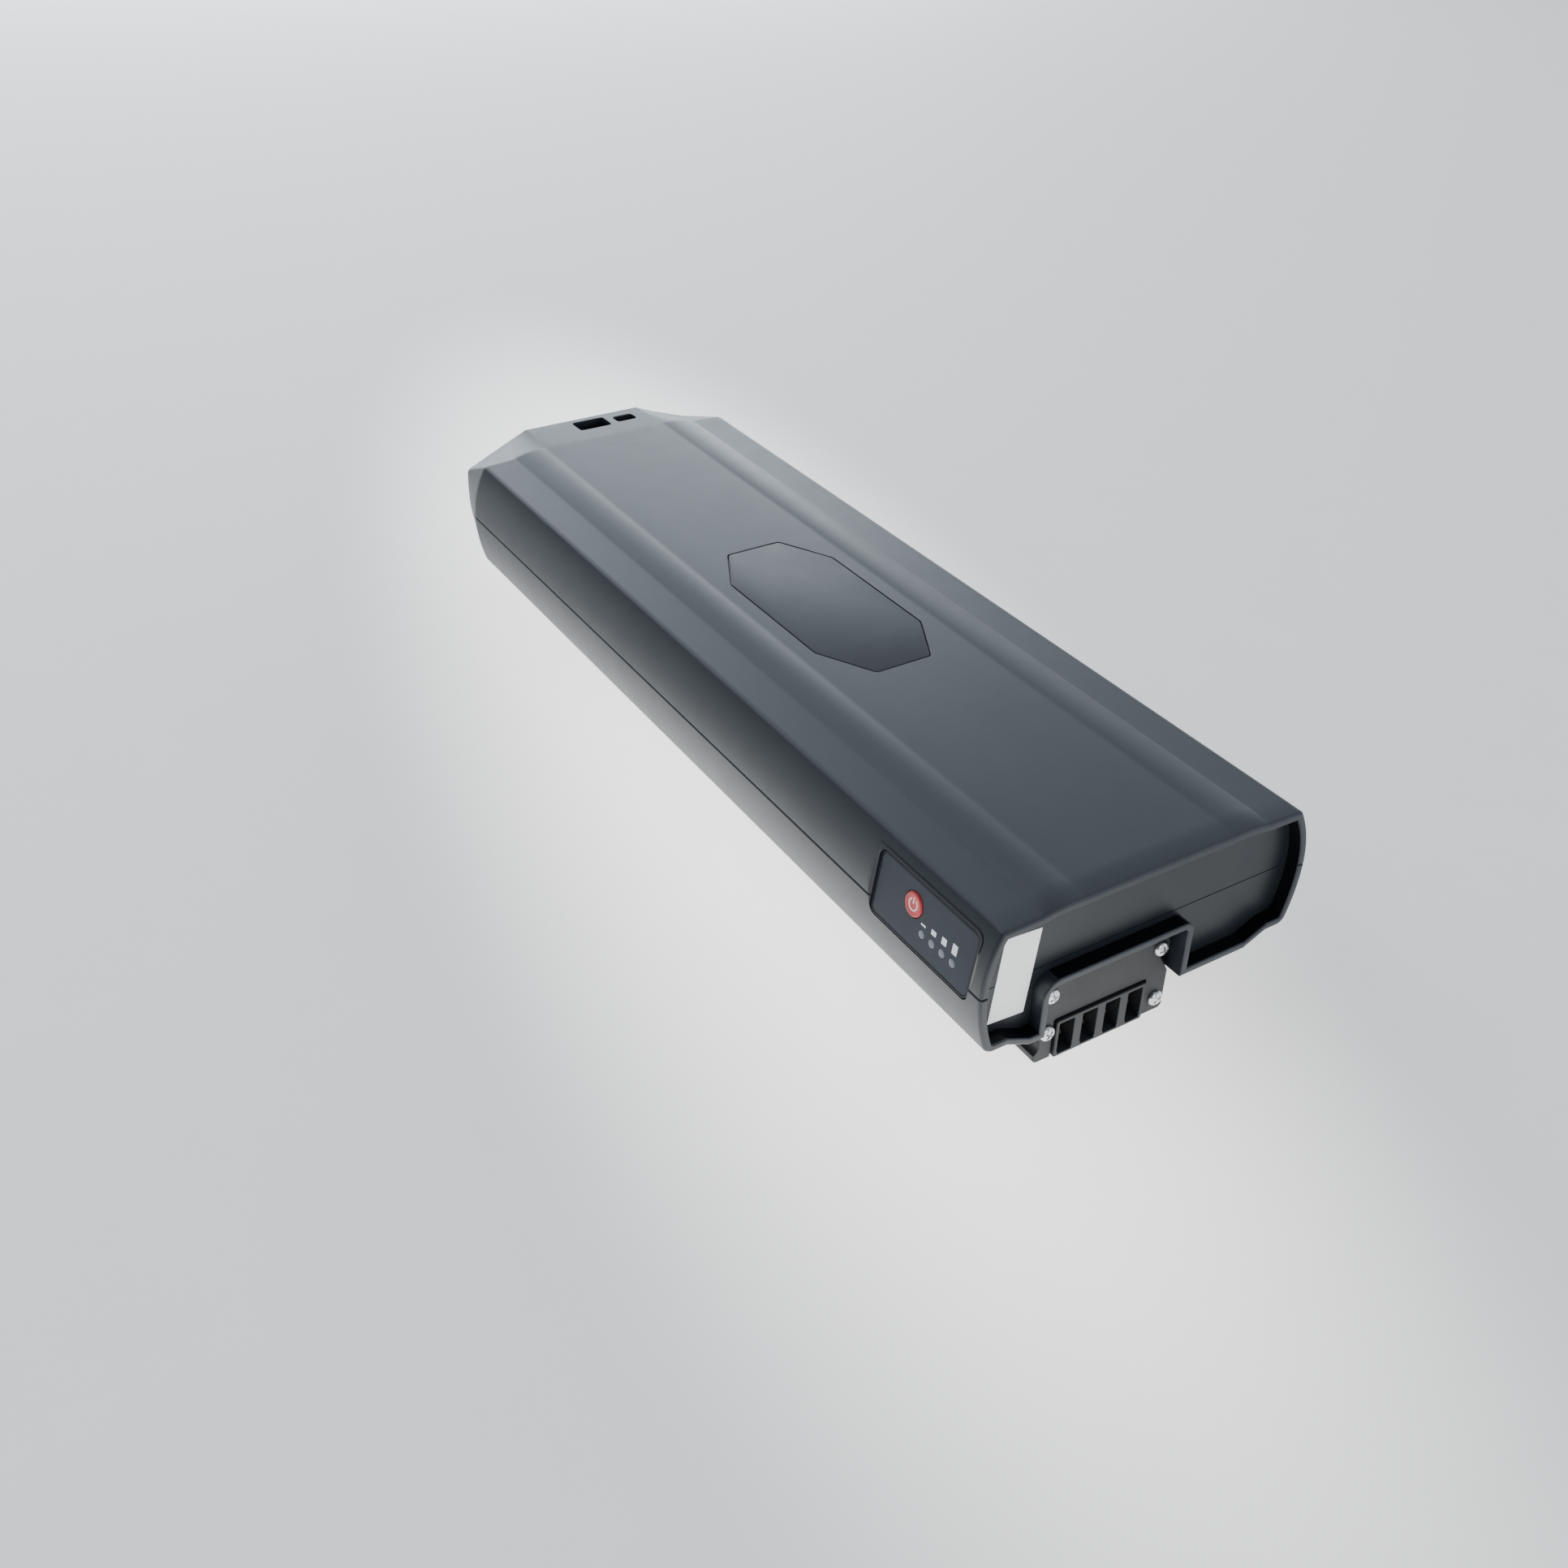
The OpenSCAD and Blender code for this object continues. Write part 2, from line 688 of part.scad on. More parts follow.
// Front outline of the connector plate, with its right ear and the key groove
module plate_outline() {
    right = plate_screws_at[2];
    low_r = bay_r / 2;
    difference() {
        polygon(concat(
            arc([holder_x0 + low_r, low_r], low_r, 180, 270, corner_steps),
            arc([holder_x1 - low_r, low_r], low_r, 270, 360, corner_steps),
            [[holder_x1, z_flat]],
            arc(right, ear_r, -75, 60, arc_steps),
            arc([right[0] - bay_r, holder_top - bay_r], bay_r, 20, 90, corner_steps),
            arc([holder_x0 + bay_r, holder_top - bay_r], bay_r, 90, 180, corner_steps)));
        key_groove();
    }
}

module connector_plate() color([0.14, 0.15, 0.17]) difference() {
    along_y(y_plate, y_holder) difference() {
        plate_outline();
        translate([block_x0 - 2 * block_gap, -over])
            square([block_w + 4 * block_gap, block_top + 2 * block_gap + over]);
    }
    at_plate_screws(y_holder + over) cylinder(d = screw_d + 2 * fit_gap, h = plate_t + 2 * over);
}

module connector_housing() color([0.12, 0.13, 0.15]) difference() {
    along_y(y_holder, y_holder_back) plate_outline();
    box([block_x0 - block_gap, y_holder - over, -over],
        [block_x0 + block_w + block_gap, block_y + block_len, block_top + block_gap]);
    box([block_x0 + block_gap, block_y + block_len - over, bay_wall],
        [block_x0 + block_w - block_gap, y_holder_back - bay_wall / 2, block_top]);
    at_leads() translate([0, 0, block_top - over]) cylinder(r = lead_hole_r, h = holder_top);
    at_plate_screws(y_holder + plate_screw_len + over)
        cylinder(d = screw_d + 2 * fit_gap, h = plate_screw_len + 2 * over);
}

module plate_screws() color([0.78, 0.79, 0.8]) {
    at_plate_screws(y_holder + plate_screw_len) cylinder(d = screw_d, h = plate_screw_len + plate_t);
    at_plate_screws(y_plate) pan_head();
}

// Pan head with a cross recess, its seat at zero
module pan_head() {
    recess = head_d / 8;
    difference() {
        rotate_extrude() polygon([[0, 0], [head_d / 2, 0], [head_d / 2, head_h * 0.35],
            [head_d * 0.4, head_h * 0.8], [head_d * 0.25, head_h], [0, head_h]]);
        for (a = [0, 90]) rotate(a) translate([-head_d * 0.3, -recess / 2, head_h / 2])
            cube([head_d * 0.6, recess, head_h]);
    }
}

module slot_block() color([0.1, 0.11, 0.12]) difference() {
    box([block_x0, block_y, 0], [block_x0 + block_w, block_y + block_len, block_top]);
    for (i = [0:3]) {
        box([slot_x(i) - slot_w / 2, block_y - over, (block_top - slot_h) / 2 + block_gap],
            [slot_x(i) + slot_w / 2, block_y + slot_depth,
                (block_top + slot_h) / 2 + block_gap]);
        box([slot_x(i) - leaf_w / 2 - fit_gap, block_y + slot_depth - over,
                tail_z - leaf_t - fit_gap],
            [slot_x(i) + leaf_w / 2 + fit_gap, block_y + block_len + over, tail_z + fit_gap]);
    }
}

// Contact leaf: a curved spring that rises from the slot's floor, with a tail out of the back
leaf_w = 4.6;
leaf_t = 0.6;
leaf_r = 6;
leaf_y = block_y + 9.6;
tail_z = (block_top - slot_h) / 2 + block_gap + leaf_r * 0.85;
tail_end = lead_y + lead_r;

module terminal(i) color([0.8, 0.66, 0.35]) translate([slot_x(i), 0, 0]) {
    translate([leaf_w / 2, leaf_y, tail_z - leaf_r]) rotate([90, 0, -90]) linear_extrude(leaf_w)
        difference() {
            intersection() {
                circle(leaf_r);
                rotate(30) square(leaf_r);
                square(leaf_r);
            }
            circle(leaf_r - leaf_t);
        }
    box([-leaf_w / 2, leaf_y - fit_gap, tail_z - leaf_t], [leaf_w / 2, tail_end, tail_z]);
}

// Insulated lead: up through the roof of the bay, across to the right flank, back to the board
lead_bend = 4;
lead_rise = 5;
lead_level = bay_top + bay_wall + lead_rise;
lead_step = 4;
tape_t = 1;
bms_t = 1.6;
bms_face = pack_w / 2 + tape_t + bms_t;
sink_gap = 1;
bms_room = screw_x - boss_r - sink_gap - bms_face;
lead_share = 0.585;
lead_side_x = bms_face + lead_share * bms_room;
clamp_in = 5.2;
y_clamp = y_rim + bay_d + bay_wall + pack_gap + block_pitch + clamp_in;

module lead(i) color(i % 2 == 0 ? [0.7, 0.1, 0.1] : [0.08, 0.08, 0.09]) {
    z = lead_level + (3 - i) * lead_step;
    x = slot_x(i);
    y_end = y_clamp;
    translate([x, lead_y, tail_z]) cylinder(r = lead_r, h = z - lead_bend - tail_z);
    translate([x + lead_bend, lead_y, z - lead_bend]) rotate([90, 0, 180]) elbow();
    translate([x + lead_bend, lead_y, z]) rotate([0, 90, 0])
        cylinder(r = lead_r, h = lead_side_x - x - 2 * lead_bend);
    translate([lead_side_x - lead_bend, lead_y + lead_bend, z]) rotate(-90) elbow();
    translate([lead_side_x, lead_y + lead_bend, z]) rotate([-90, 0, 0])
        cylinder(r = lead_r, h = y_end - lead_y - lead_bend);
}

// A quarter bend from +X to +Y round the origin
module elbow() {
    rotate_extrude(angle = 90) translate([lead_bend, 0]) circle(lead_r);
}

label_w = 13.6;
label_h = 31;
label_lean = 3.6;
label_turn = 1;
label_t = 0.2;
label_side = 8;
label_up = 5.2;
label_at = [label_side - case_w / 2, z_foot + label_up];

module inspection_label() color([0.93, 0.93, 0.92])
    along_y(y_wall - label_t, y_wall) translate(label_at) polygon([[0, label_turn], [label_w, 0],
        [label_w + label_lean, label_h], [label_lean, label_h + label_turn]]);

// Slide rail: two runners with the key groove, joined by a web with cross ribs
rail_gap = 0.4;
rail_end = 28;
rail_y0 = y_rim + bay_d + rail_gap;
rail_y1 = y_crease - rail_end;
channel_hw = 18;
channel_d = 9;
rib_t = 2.4;
rib_count = 8;
rail_screw_x = 27;
rail_screw_rows = 3;
rail_screw_inset = 24;
rail_seat = 9;

module at_rail_screws() {
    for (x = [-rail_screw_x, rail_screw_x], i = [0:rail_screw_rows - 1])
        translate([x, rail_y0 + rail_screw_inset + (rail_y1 - rail_y0 - 2 * rail_screw_inset)
            * i / (rail_screw_rows - 1), 0]) children();
}

module slide_rail() color([0.13, 0.14, 0.15]) difference() {
    along_y(rail_y0, rail_y1) difference() {
        translate([0, z_flat / 2]) square([2 * rail_hw, z_flat], center = true);
        for (s = [0, 1]) mirror([s, 0]) key_groove();
    }
    cell = (rail_y1 - rail_y0 - rib_t) / rib_count;
    for (i = [0:rib_count - 1]) box([-channel_hw, rail_y0 + rib_t + i * cell, -over],
        [channel_hw, rail_y0 + (i + 1) * cell, channel_d]);
    at_rail_screws() {
        translate([0, 0, -over]) cylinder(d = head_d + 2 * head_gap, h = rail_seat + over);
        cylinder(d = screw_d + 2 * fit_gap, h = z_flat + over);
    }
}

module rail_screws() color([0.7, 0.7, 0.72]) at_rail_screws() {
    translate([0, 0, rail_seat]) cylinder(d = screw_d, h = z_flat + wall - 2 * head_gap - rail_seat);
    translate([0, 0, rail_seat]) mirror([0, 0, 1]) pan_head();
}

module case_screws() color([0.7, 0.7, 0.72]) at_case_screws() translate([0, 0, z_seam - screw_seat]) {
    cylinder(d = screw_d, h = screw_seat + screw_grip);
    mirror([0, 0, 1]) pan_head();
}

// Five blocks of eight cells, four across and two high, stand in line behind the connector bay
pack_y0 = y_rim + bay_d + bay_wall + pack_gap;
pack_z0 = z_flat + wall + foam_t;

function cell_at(i, j) = [(i - (cells_across - 1) / 2) * cell_pitch,
    pack_z0 + (j + 0.5) * cell_pitch];
function block_y0(k) = pack_y0 + k * block_pitch;

// Places an outline's children on the end of every cell
module at_cells() {
    for (i = [0:cells_across - 1], j = [0:layers - 1]) translate(cell_at(i, j)) children();
}

cap_h = 0.8;
cap_r = 2.8;

module cells(k) color([0.25, 0.5, 0.7]) {
    y0 = block_y0(k) + nickel_t;
    for (j = [0:layers - 1]) {
        front = (j + k) % 2;
        along_y(y0 + front * cap_h, y0 + cell_len - (1 - front) * cap_h)
            for (i = [0:cells_across - 1]) translate(cell_at(i, j)) circle(d = cell_d);
        along_y(front == 1 ? y0 : y0 + cell_len - cap_h, front == 1 ? y0 + cap_h : y0 + cell_len)
            for (i = [0:cells_across - 1]) translate(cell_at(i, j)) circle(cap_r);
    }
}

// Two frames a block: plates that the cell ends sit in
module cell_frames(k) color([0.1, 0.1, 0.11]) {
    y0 = block_y0(k) + nickel_t;
    for (y = [y0, y0 + cell_len - frame_t]) along_y(y, y + frame_t) difference() {
        translate([-pack_w / 2, pack_z0]) square([pack_w, pack_h]);
        at_cells() circle(cell_d / 2 + fit_gap);
    }
}

// Strips on both faces of a block: one a layer in front, both layers linked at the back
strip_w = 8;
link_w = 6;

module nickel_strips(k) color([0.8, 0.8, 0.76]) {
    y0 = block_y0(k);
    y1 = y0 + nickel_t + cell_len;
    l = pack_w - cell_pitch + strip_w;
    for (y = [y0, y1]) along_y(y, y + nickel_t) {
        for (j = [0:layers - 1]) translate([0, cell_at(0, j)[1]])
            square([l, strip_w], center = true);
        if (y == y1) for (i = [1:cells_across - 1])
            translate([(i - cells_across / 2) * cell_pitch, pack_z0 + pack_h / 2])
                square([link_w, cell_pitch], center = true);
    }
}

module insulator(k) color([0.85, 0.83, 0.7]) {
    y = block_y0(k) + cell_len + 2 * nickel_t;
    box([-pack_w / 2, y, pack_z0], [pack_w / 2, y + sheet_t, pack_z0 + pack_h]);
}

// Foam pads that hold the blocks down, up and back against the bay
foam_in = 6;
foam_w = 16;
pack_y1 = pack_y0 + pack_len;

module foam_base() color([0.25, 0.25, 0.26])
    box([-pack_w / 2, pack_y0, z_flat + wall], [pack_w / 2, pack_y1, pack_z0]);

module foam_top() color([0.25, 0.25, 0.26]) for (s = [-1, 1])
    translate([s * foam_w, 0, 0]) box([-foam_w / 2, pack_y0, pack_z0 + pack_h],
        [foam_w / 2, pack_y1, z_top - wall]);

module foam_end() color([0.25, 0.25, 0.26])
    box([foam_in - pack_w / 2, pack_y1, pack_z0 + foam_in],
        [pack_w / 2 - foam_in, y_crease - wall, pack_z0 + pack_h - foam_in]);

// Management board, standing on tape on the right side of the blocks
bms_in = 2;
bms_x = pack_w / 2 + tape_t;
bms_y0 = block_y0(1);
bms_len = 1.82 * block_pitch;
switch_count = 6;
fet_len = 10;
fet_h = 15;
fet_share = 0.468;
sink_share = 0.213;
fet_t = fet_share * bms_room;
fet_pitch = 13;
fet_from_end = 28;
sink_t = sink_share * bms_room;
fin_h = bms_room - fet_t - sink_t;
fin_t = 1.2;
fin_count = 6;
fet_y0 = bms_y0 + fet_from_end;
fet_z0 = pack_z0 + pack_h / 2 - fet_h / 2;
row_len = (switch_count - 1) * fet_pitch + fet_len;
sink_h = fet_h + 2 * bms_in;

module bms_tape() color([0.3, 0.3, 0.32])
    box([pack_w / 2, bms_y0 + bms_in, pack_z0 + 2 * bms_in],
        [bms_x, bms_y0 + bms_len - bms_in, pack_z0 + pack_h - 2 * bms_in]);

module bms_board() color([0.08, 0.3, 0.16])
    box([bms_x, bms_y0, pack_z0 + bms_in / 2],
        [bms_face, bms_y0 + bms_len, pack_z0 + pack_h - bms_in / 2]);

module bms_switches() color([0.09, 0.09, 0.1])
    for (i = [0:switch_count - 1]) box([bms_face, fet_y0 + i * fet_pitch, fet_z0],
        [bms_face + fet_t, fet_y0 + i * fet_pitch + fet_len, fet_z0 + fet_h]);

module bms_heatsink() color([0.75, 0.76, 0.78]) {
    x = bms_face + fet_t;
    z = fet_z0 - bms_in;
    box([x, fet_y0 - bms_in, z], [x + sink_t, fet_y0 + row_len + bms_in, z + sink_h]);
    for (i = [0:fin_count - 1]) let(f = z + i * (sink_h - fin_t) / (fin_count - 1))
        box([x + sink_t - face_sink, fet_y0 - bms_in, f],
            [x + sink_t + fin_h, fet_y0 + row_len + bms_in, f + fin_t]);
}

// Block of four clamps that takes the leads
clamp_d = 4;
clamp_len = 10;
clamp_rim = 2.6;

module bms_terminals() color([0.1, 0.35, 0.15]) {
    y = y_clamp - clamp_d;
    top = lead_level + 3 * lead_step + clamp_rim;
    difference() {
        box([bms_face, y, lead_level - clamp_rim], [lead_side_x + clamp_rim, y + clamp_len, top]);
        for (i = [0:3]) translate([lead_side_x, y - over, lead_level + i * lead_step])
            rotate([-90, 0, 0]) cylinder(r = lead_r + fit_gap, h = clamp_d + over);
    }
}

top_shell();
bottom_shell();
seam_gasket();
badge_plate();
panel_bezel();
panel_membrane();
power_button();
switch_plunger();
switch_body();
panel_board();
status_leds();
board_screws();
connector_plate();
connector_housing();
slot_block();
plate_screws();
inspection_label();
slide_rail();
rail_screws();
case_screws();
foam_base();
foam_top();
foam_end();
bms_tape();
bms_board();
bms_heatsink();
bms_switches();
bms_terminals();
for (i = [0:3]) lens(i);
for (i = [0:3]) terminal(i);
for (i = [0:3]) lead(i);
for (i = [0:4]) cells(i);
for (i = [0:4]) cell_frames(i);
for (i = [0:4]) nickel_strips(i);
for (i = [0:3]) insulator(i);
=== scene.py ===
"""Visual model of a rear-rack e-bike battery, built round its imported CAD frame.

Every length is in millimetres in the row frame (X across, Y from the connector end to the
nose, Z up from the rail) and is turned into metres when a mesh is made.
"""

import json
import logging
import math
from collections.abc import Callable, Iterable, Sequence
from dataclasses import dataclass, field
from enum import Enum
from functools import cache

import bmesh
import bpy
from mathutils import Matrix, Vector


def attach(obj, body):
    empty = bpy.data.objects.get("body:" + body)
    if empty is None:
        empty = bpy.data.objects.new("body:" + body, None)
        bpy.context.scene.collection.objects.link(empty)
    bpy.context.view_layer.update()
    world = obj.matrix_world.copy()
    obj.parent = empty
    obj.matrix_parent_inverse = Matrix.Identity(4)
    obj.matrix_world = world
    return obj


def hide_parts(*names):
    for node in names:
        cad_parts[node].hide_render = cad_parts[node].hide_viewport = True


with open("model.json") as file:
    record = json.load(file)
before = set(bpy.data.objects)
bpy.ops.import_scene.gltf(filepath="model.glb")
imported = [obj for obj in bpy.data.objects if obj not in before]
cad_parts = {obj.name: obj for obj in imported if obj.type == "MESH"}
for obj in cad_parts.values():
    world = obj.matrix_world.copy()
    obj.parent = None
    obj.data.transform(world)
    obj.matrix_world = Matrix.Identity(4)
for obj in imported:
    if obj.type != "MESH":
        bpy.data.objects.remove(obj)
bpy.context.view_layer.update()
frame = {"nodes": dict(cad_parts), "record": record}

MM = 0.001
SKIN = "_skin"
Point2 = tuple[float, float]
Point3 = tuple[float, float, float]
Ring = list[Point3]
Place = Callable[[float, float, float], Point3]
log = logging.getLogger("battery")


class Body(Enum):
    """The rigid bodies of the frame."""

    CASE = "case"
    BUTTON = "button"


class Carve(Enum):
    """The ways in which a solid changes another."""

    CUT = "DIFFERENCE"
    KEEP = "INTERSECT"
    ADD = "UNION"


class Side(Enum):
    """Which of the two shells a shape belongs to."""

    TOP = 1
    BOTTOM = -1


# Finishes

# Scale in one metre, octaves and roughness of the noises
CLOUD, SMEAR, SCUFF = (38.0, 4.0, 0.6), (90.0, 5.0, 0.65), (700.0, 6.0, 0.7)
FINE_OCTAVES, FINE_ROUGH = 2.0, 0.5
BRUSHED_SCALE, SCUFF_SCALE, SCUFF_TURN = (1.0, 0.04, 1.0), (1.0, 0.12, 1.0), (0.2, 0.1, 0.5)
COAT_ROUGH, LEAST_ROUGH = 0.15, 0.02
# Levels between which each change runs
CLOUD_SPAN, SMEAR_SPAN, SCUFF_SPAN, POOL_SPAN = (0.36, 0.64), (0.3, 0.7), (0.66, 0.8), (0.15, 0.85)
PALE_GAIN, PALE_LIFT = 1.9, 0.006


def add_node(tree: bpy.types.NodeTree, kind: str, inputs: dict[str, object] | None = None,
             **settings: object) -> bpy.types.Node:
    """Adds a shader node.

    Args:
        tree: The tree that takes it.
        kind: Its type, without the word ShaderNode.
        inputs: Value or incoming socket of its inputs, by name.
        settings: Settings of the node itself, made before its inputs.

    Returns:
        The node.
    """
    node = tree.nodes.new("ShaderNode" + kind)
    for name, value in settings.items():
        setattr(node, name, value)
    for name, value in (inputs or {}).items():
        if isinstance(value, bpy.types.NodeSocket):
            tree.links.new(value, node.inputs[name])
        else:
            node.inputs[name].default_value = value
    return node


def noise(tree: bpy.types.NodeTree, where: bpy.types.NodeSocket, scale: float, detail: float,
          rough: float) -> bpy.types.NodeSocket:
    """Adds a noise with a scale in one metre, octaves and roughness; returns its level."""
    return add_node(tree, "TexNoise", {"Vector": where, "Scale": scale, "Detail": detail,
                                       "Roughness": rough}).outputs["Fac"]


def spread(tree: bpy.types.NodeTree, level: bpy.types.NodeSocket, span: Point2, low: float,
           high: float, kind: str = "LINEAR") -> bpy.types.NodeSocket:
    """Turns the levels of a span into values from low to high, clamped."""
    return add_node(tree, "MapRange", {"Value": level, "From Min": span[0], "From Max": span[1],
                                       "To Min": low, "To Max": high},
                    interpolation_type=kind).outputs["Result"]


def ramp(tree: bpy.types.NodeTree, level: bpy.types.NodeSocket,
         stops: Sequence[tuple[float, Sequence[float]]]) -> bpy.types.NodeSocket:
    """Adds a colour ramp.

    Args:
        tree: The tree that takes the node.
        level: Level that is turned into a colour.
        stops: Place and colour of each stop.

    Returns:
        The colour.
    """
    node = add_node(tree, "ValToRGB", {"Fac": level})
    elements = node.color_ramp.elements
    while len(elements) < len(stops):
        elements.new(0.5)
    for element, (at, colour) in zip(elements, stops):
        element.position = at
        element.color = (*colour, 1.0)
    return node.outputs["Color"]


@dataclass(frozen=True)
class Finish:
    """A procedural surface: colour drift, grain, fine relief and a varied gloss.

    Attributes:
        name: Name of the Blender material.
        colour: Linear base colour.
        rough: Mean roughness.
        drift: How far the colour wanders, as a share of itself.
        gloss_drift: How far the roughness wanders up and down.
        grain: Grains in one metre of the object.
        relief: Height of the grain in metres.
        metal: 1 for bare metal.
        coat: Weight of a clear coat.
        edge_wear: How much paler the worn patches are.
        brushed: Whether the grain is drawn out along Y.
        specular: Specular level.
        glow: Light that the surface gives off by itself.
    """

    name: str
    colour: Point3
    rough: float
    drift: float
    gloss_drift: float
    grain: float = 2600.0
    relief: float = 1.2e-5
    metal: float = 0.0
    coat: float = 0.0
    edge_wear: float = 0.0
    brushed: bool = False
    specular: float = 0.5
    glow: float = 0.0

    @cache
    def build(self) -> bpy.types.Material:
        """Makes the material's node tree, once.

        Returns:
            The finished material.
        """
        material = bpy.data.materials.new(self.name)
        material.use_nodes = True
        tree = material.node_tree
        tree.nodes.clear()
        where = add_node(tree, "TexCoord").outputs["Object"]
        scale = BRUSHED_SCALE if self.brushed else (1.0, 1.0, 1.0)
        drawn = add_node(tree, "Mapping", {"Vector": where, "Scale": scale}).outputs["Vector"]
        low = [c * (1.0 - self.drift) for c in self.colour]
        high = [min(1.0, c * (1.0 + self.drift)) for c in self.colour]
        base = ramp(tree, noise(tree, drawn, *CLOUD), list(zip(CLOUD_SPAN, (low, high))))
        if self.edge_wear:
            base = self._worn(tree, where, base)
        gloss = spread(tree, noise(tree, where, *SMEAR), SMEAR_SPAN,
                       max(LEAST_ROUGH, self.rough - self.gloss_drift),
                       self.rough + self.gloss_drift)
        bump = add_node(tree, "Bump", {
            "Height": noise(tree, drawn, self.grain, FINE_OCTAVES, FINE_ROUGH),
            "Strength": 1.0, "Distance": self.relief})
        glow = {"Emission Color": base, "Emission Strength": self.glow} if self.glow else {}
        shader = add_node(tree, "BsdfPrincipled", {
            "Base Color": base, "Roughness": gloss, "Normal": bump.outputs["Normal"],
            "Metallic": self.metal, "Coat Weight": self.coat, "Coat Roughness": COAT_ROUGH,
            "Specular IOR Level": self.specular} | glow)
        add_node(tree, "OutputMaterial", {"Surface": shader.outputs["BSDF"]})
        return material

    def _worn(self, tree: bpy.types.NodeTree, where: bpy.types.NodeSocket,
              base: bpy.types.NodeSocket) -> bpy.types.NodeSocket:
        """Pales the colour in sparse, thin scuffs.

        Args:
            tree: The material's node tree.
            where: Place on the object.
            base: The colour before wear.

        Returns:
            The colour with scuffs.
        """
        turned = add_node(tree, "Mapping", {"Vector": where, "Rotation": SCUFF_TURN,
                                            "Scale": SCUFF_SCALE}).outputs["Vector"]
        mask = spread(tree, noise(tree, turned, *SCUFF), SCUFF_SPAN, 0.0, self.edge_wear)
        pale = (*(min(1.0, c * PALE_GAIN + PALE_LIFT) for c in self.colour), 1.0)
        mix = add_node(tree, "Mix", {"Factor": mask, "A": base, "B": pale}, data_type="RGBA")
        return mix.outputs["Result"]


FINISHES: dict[str, Finish] = {
    f.name: f
    for f in (
        Finish("shell_plastic", (0.019, 0.0245, 0.033), 0.42, 0.05, 0.02, 2600, 9e-6,
               edge_wear=0.08),
        Finish("lower_plastic", (0.018, 0.0235, 0.032), 0.4, 0.05, 0.02, 2600, 9e-6,
               edge_wear=0.08),
        Finish("gasket_rubber", (0.012, 0.012, 0.013), 0.75, 0.2, 0.08, 1500, 3e-5),
        Finish("badge_plastic", (0.014, 0.018, 0.025), 0.5, 0.04, 0.02, 2600, 9e-6,
               specular=0.36),
        Finish("bezel_plastic", (0.015, 0.018, 0.022), 0.4, 0.08, 0.04, 3000, 8e-6,
               specular=0.26),
        Finish("membrane_film", (0.044, 0.053, 0.067), 0.5, 0.04, 0.03, 4200, 4e-6,
               specular=0.16),
        Finish("button_plastic", (0.62, 0.03, 0.03), 0.38, 0.08, 0.04, 3600, 4e-6, coat=0.2),
        Finish("switch_plastic", (0.03, 0.03, 0.032), 0.5, 0.1, 0.05),
        Finish("board_green", (0.01, 0.09, 0.035), 0.35, 0.25, 0.08, 1200, 1.5e-5, coat=0.5),
        Finish("led_body", (0.75, 0.74, 0.66), 0.3, 0.06, 0.04, coat=0.4),
        Finish("screw_steel", (0.72, 0.72, 0.73), 0.24, 0.08, 0.07, 1800, 1e-5, metal=1.0,
               edge_wear=0.1),
        Finish("lens_clear", (0.15, 0.18, 0.21), 0.34, 0.06, 0.04, 2400, 3e-6, coat=0.2),
        Finish("connector_plastic", (0.017, 0.02, 0.023), 0.46, 0.08, 0.04, 2600, 1.2e-5,
               specular=0.36),
        Finish("block_plastic", (0.016, 0.019, 0.022), 0.42, 0.08, 0.04, 2600, 1e-5,
               specular=0.36),
        Finish("contact_brass", (0.2, 0.16, 0.11), 0.45, 0.12, 0.08, 2200, 1e-5, metal=1.0),
        Finish("lead_red", (0.42, 0.015, 0.012), 0.5, 0.15, 0.06, 1500, 2e-5),
        Finish("lead_black", (0.014, 0.014, 0.015), 0.5, 0.15, 0.06, 1500, 2e-5),
        # The label's glow is painted light that keeps it bright white
        Finish("label_film", (0.92, 0.92, 0.91), 0.5, 0.02, 0.04, 1600, 1.2e-5, glow=0.3),
        Finish("rail_plastic", (0.02, 0.023, 0.027), 0.47, 0.12, 0.06, 2200, 1.6e-5,
               edge_wear=0.25),
        Finish("cell_wrap", (0.03, 0.13, 0.3), 0.3, 0.12, 0.08, 900, 2e-5, coat=0.4),
        Finish("frame_plastic", (0.015, 0.015, 0.016), 0.55, 0.12, 0.06),
        Finish("nickel", (0.66, 0.65, 0.6), 0.28, 0.08, 0.1, 1500, 1e-5, metal=1.0,
               brushed=True),
        Finish("sheet_paper", (0.5, 0.43, 0.26), 0.75, 0.12, 0.08, 1400, 3e-5),
        Finish("foam", (0.03, 0.03, 0.032), 0.9, 0.3, 0.05, 900, 1.6e-4),
        Finish("heatsink_alloy", (0.78, 0.79, 0.81), 0.33, 0.06, 0.08, 1400, 1.2e-5,
               metal=1.0, brushed=True),
        Finish("fet_plastic", (0.014, 0.014, 0.016), 0.5, 0.15, 0.06, 2000, 1.5e-5),
        Finish("terminal_plastic", (0.012, 0.12, 0.035), 0.42, 0.12, 0.05),
    )
}
# Near-black, barely reflecting painted shade on the front recess's inner sides
PAINTED_RECESS_SHADE = Finish("recess_sides", (0.004, 0.0045, 0.006), 0.3, 0.1, 0.04, 2600, 6e-6,
                      specular=0.06)
# A darker copy of the shell plastic on the end wall: painted shade of the recess
PAINTED_END_WALL_SHADE = Finish("end_wall_skin", (0.015, 0.019, 0.024), 0.36, 0.04, 0.02, 2600, 6e-6,
                       specular=0.4)
# Printed ink for the panel's and button's marks, with a faint glow that is painted light
INK_WITH_PAINTED_GLOW = Finish("printed_ink", (0.9, 0.92, 0.94), 0.55, 0.02, 0.04, 5200, 4e-6, glow=0.15)
# The floor glows; Studio shapes its glow into a painted pool of light
FLOOR = Finish("floor_paper", (0.88, 0.866, 0.85), 0.7, 0.008, 0.04, 300, 1e-5, glow=0.5)


# Outlines and places


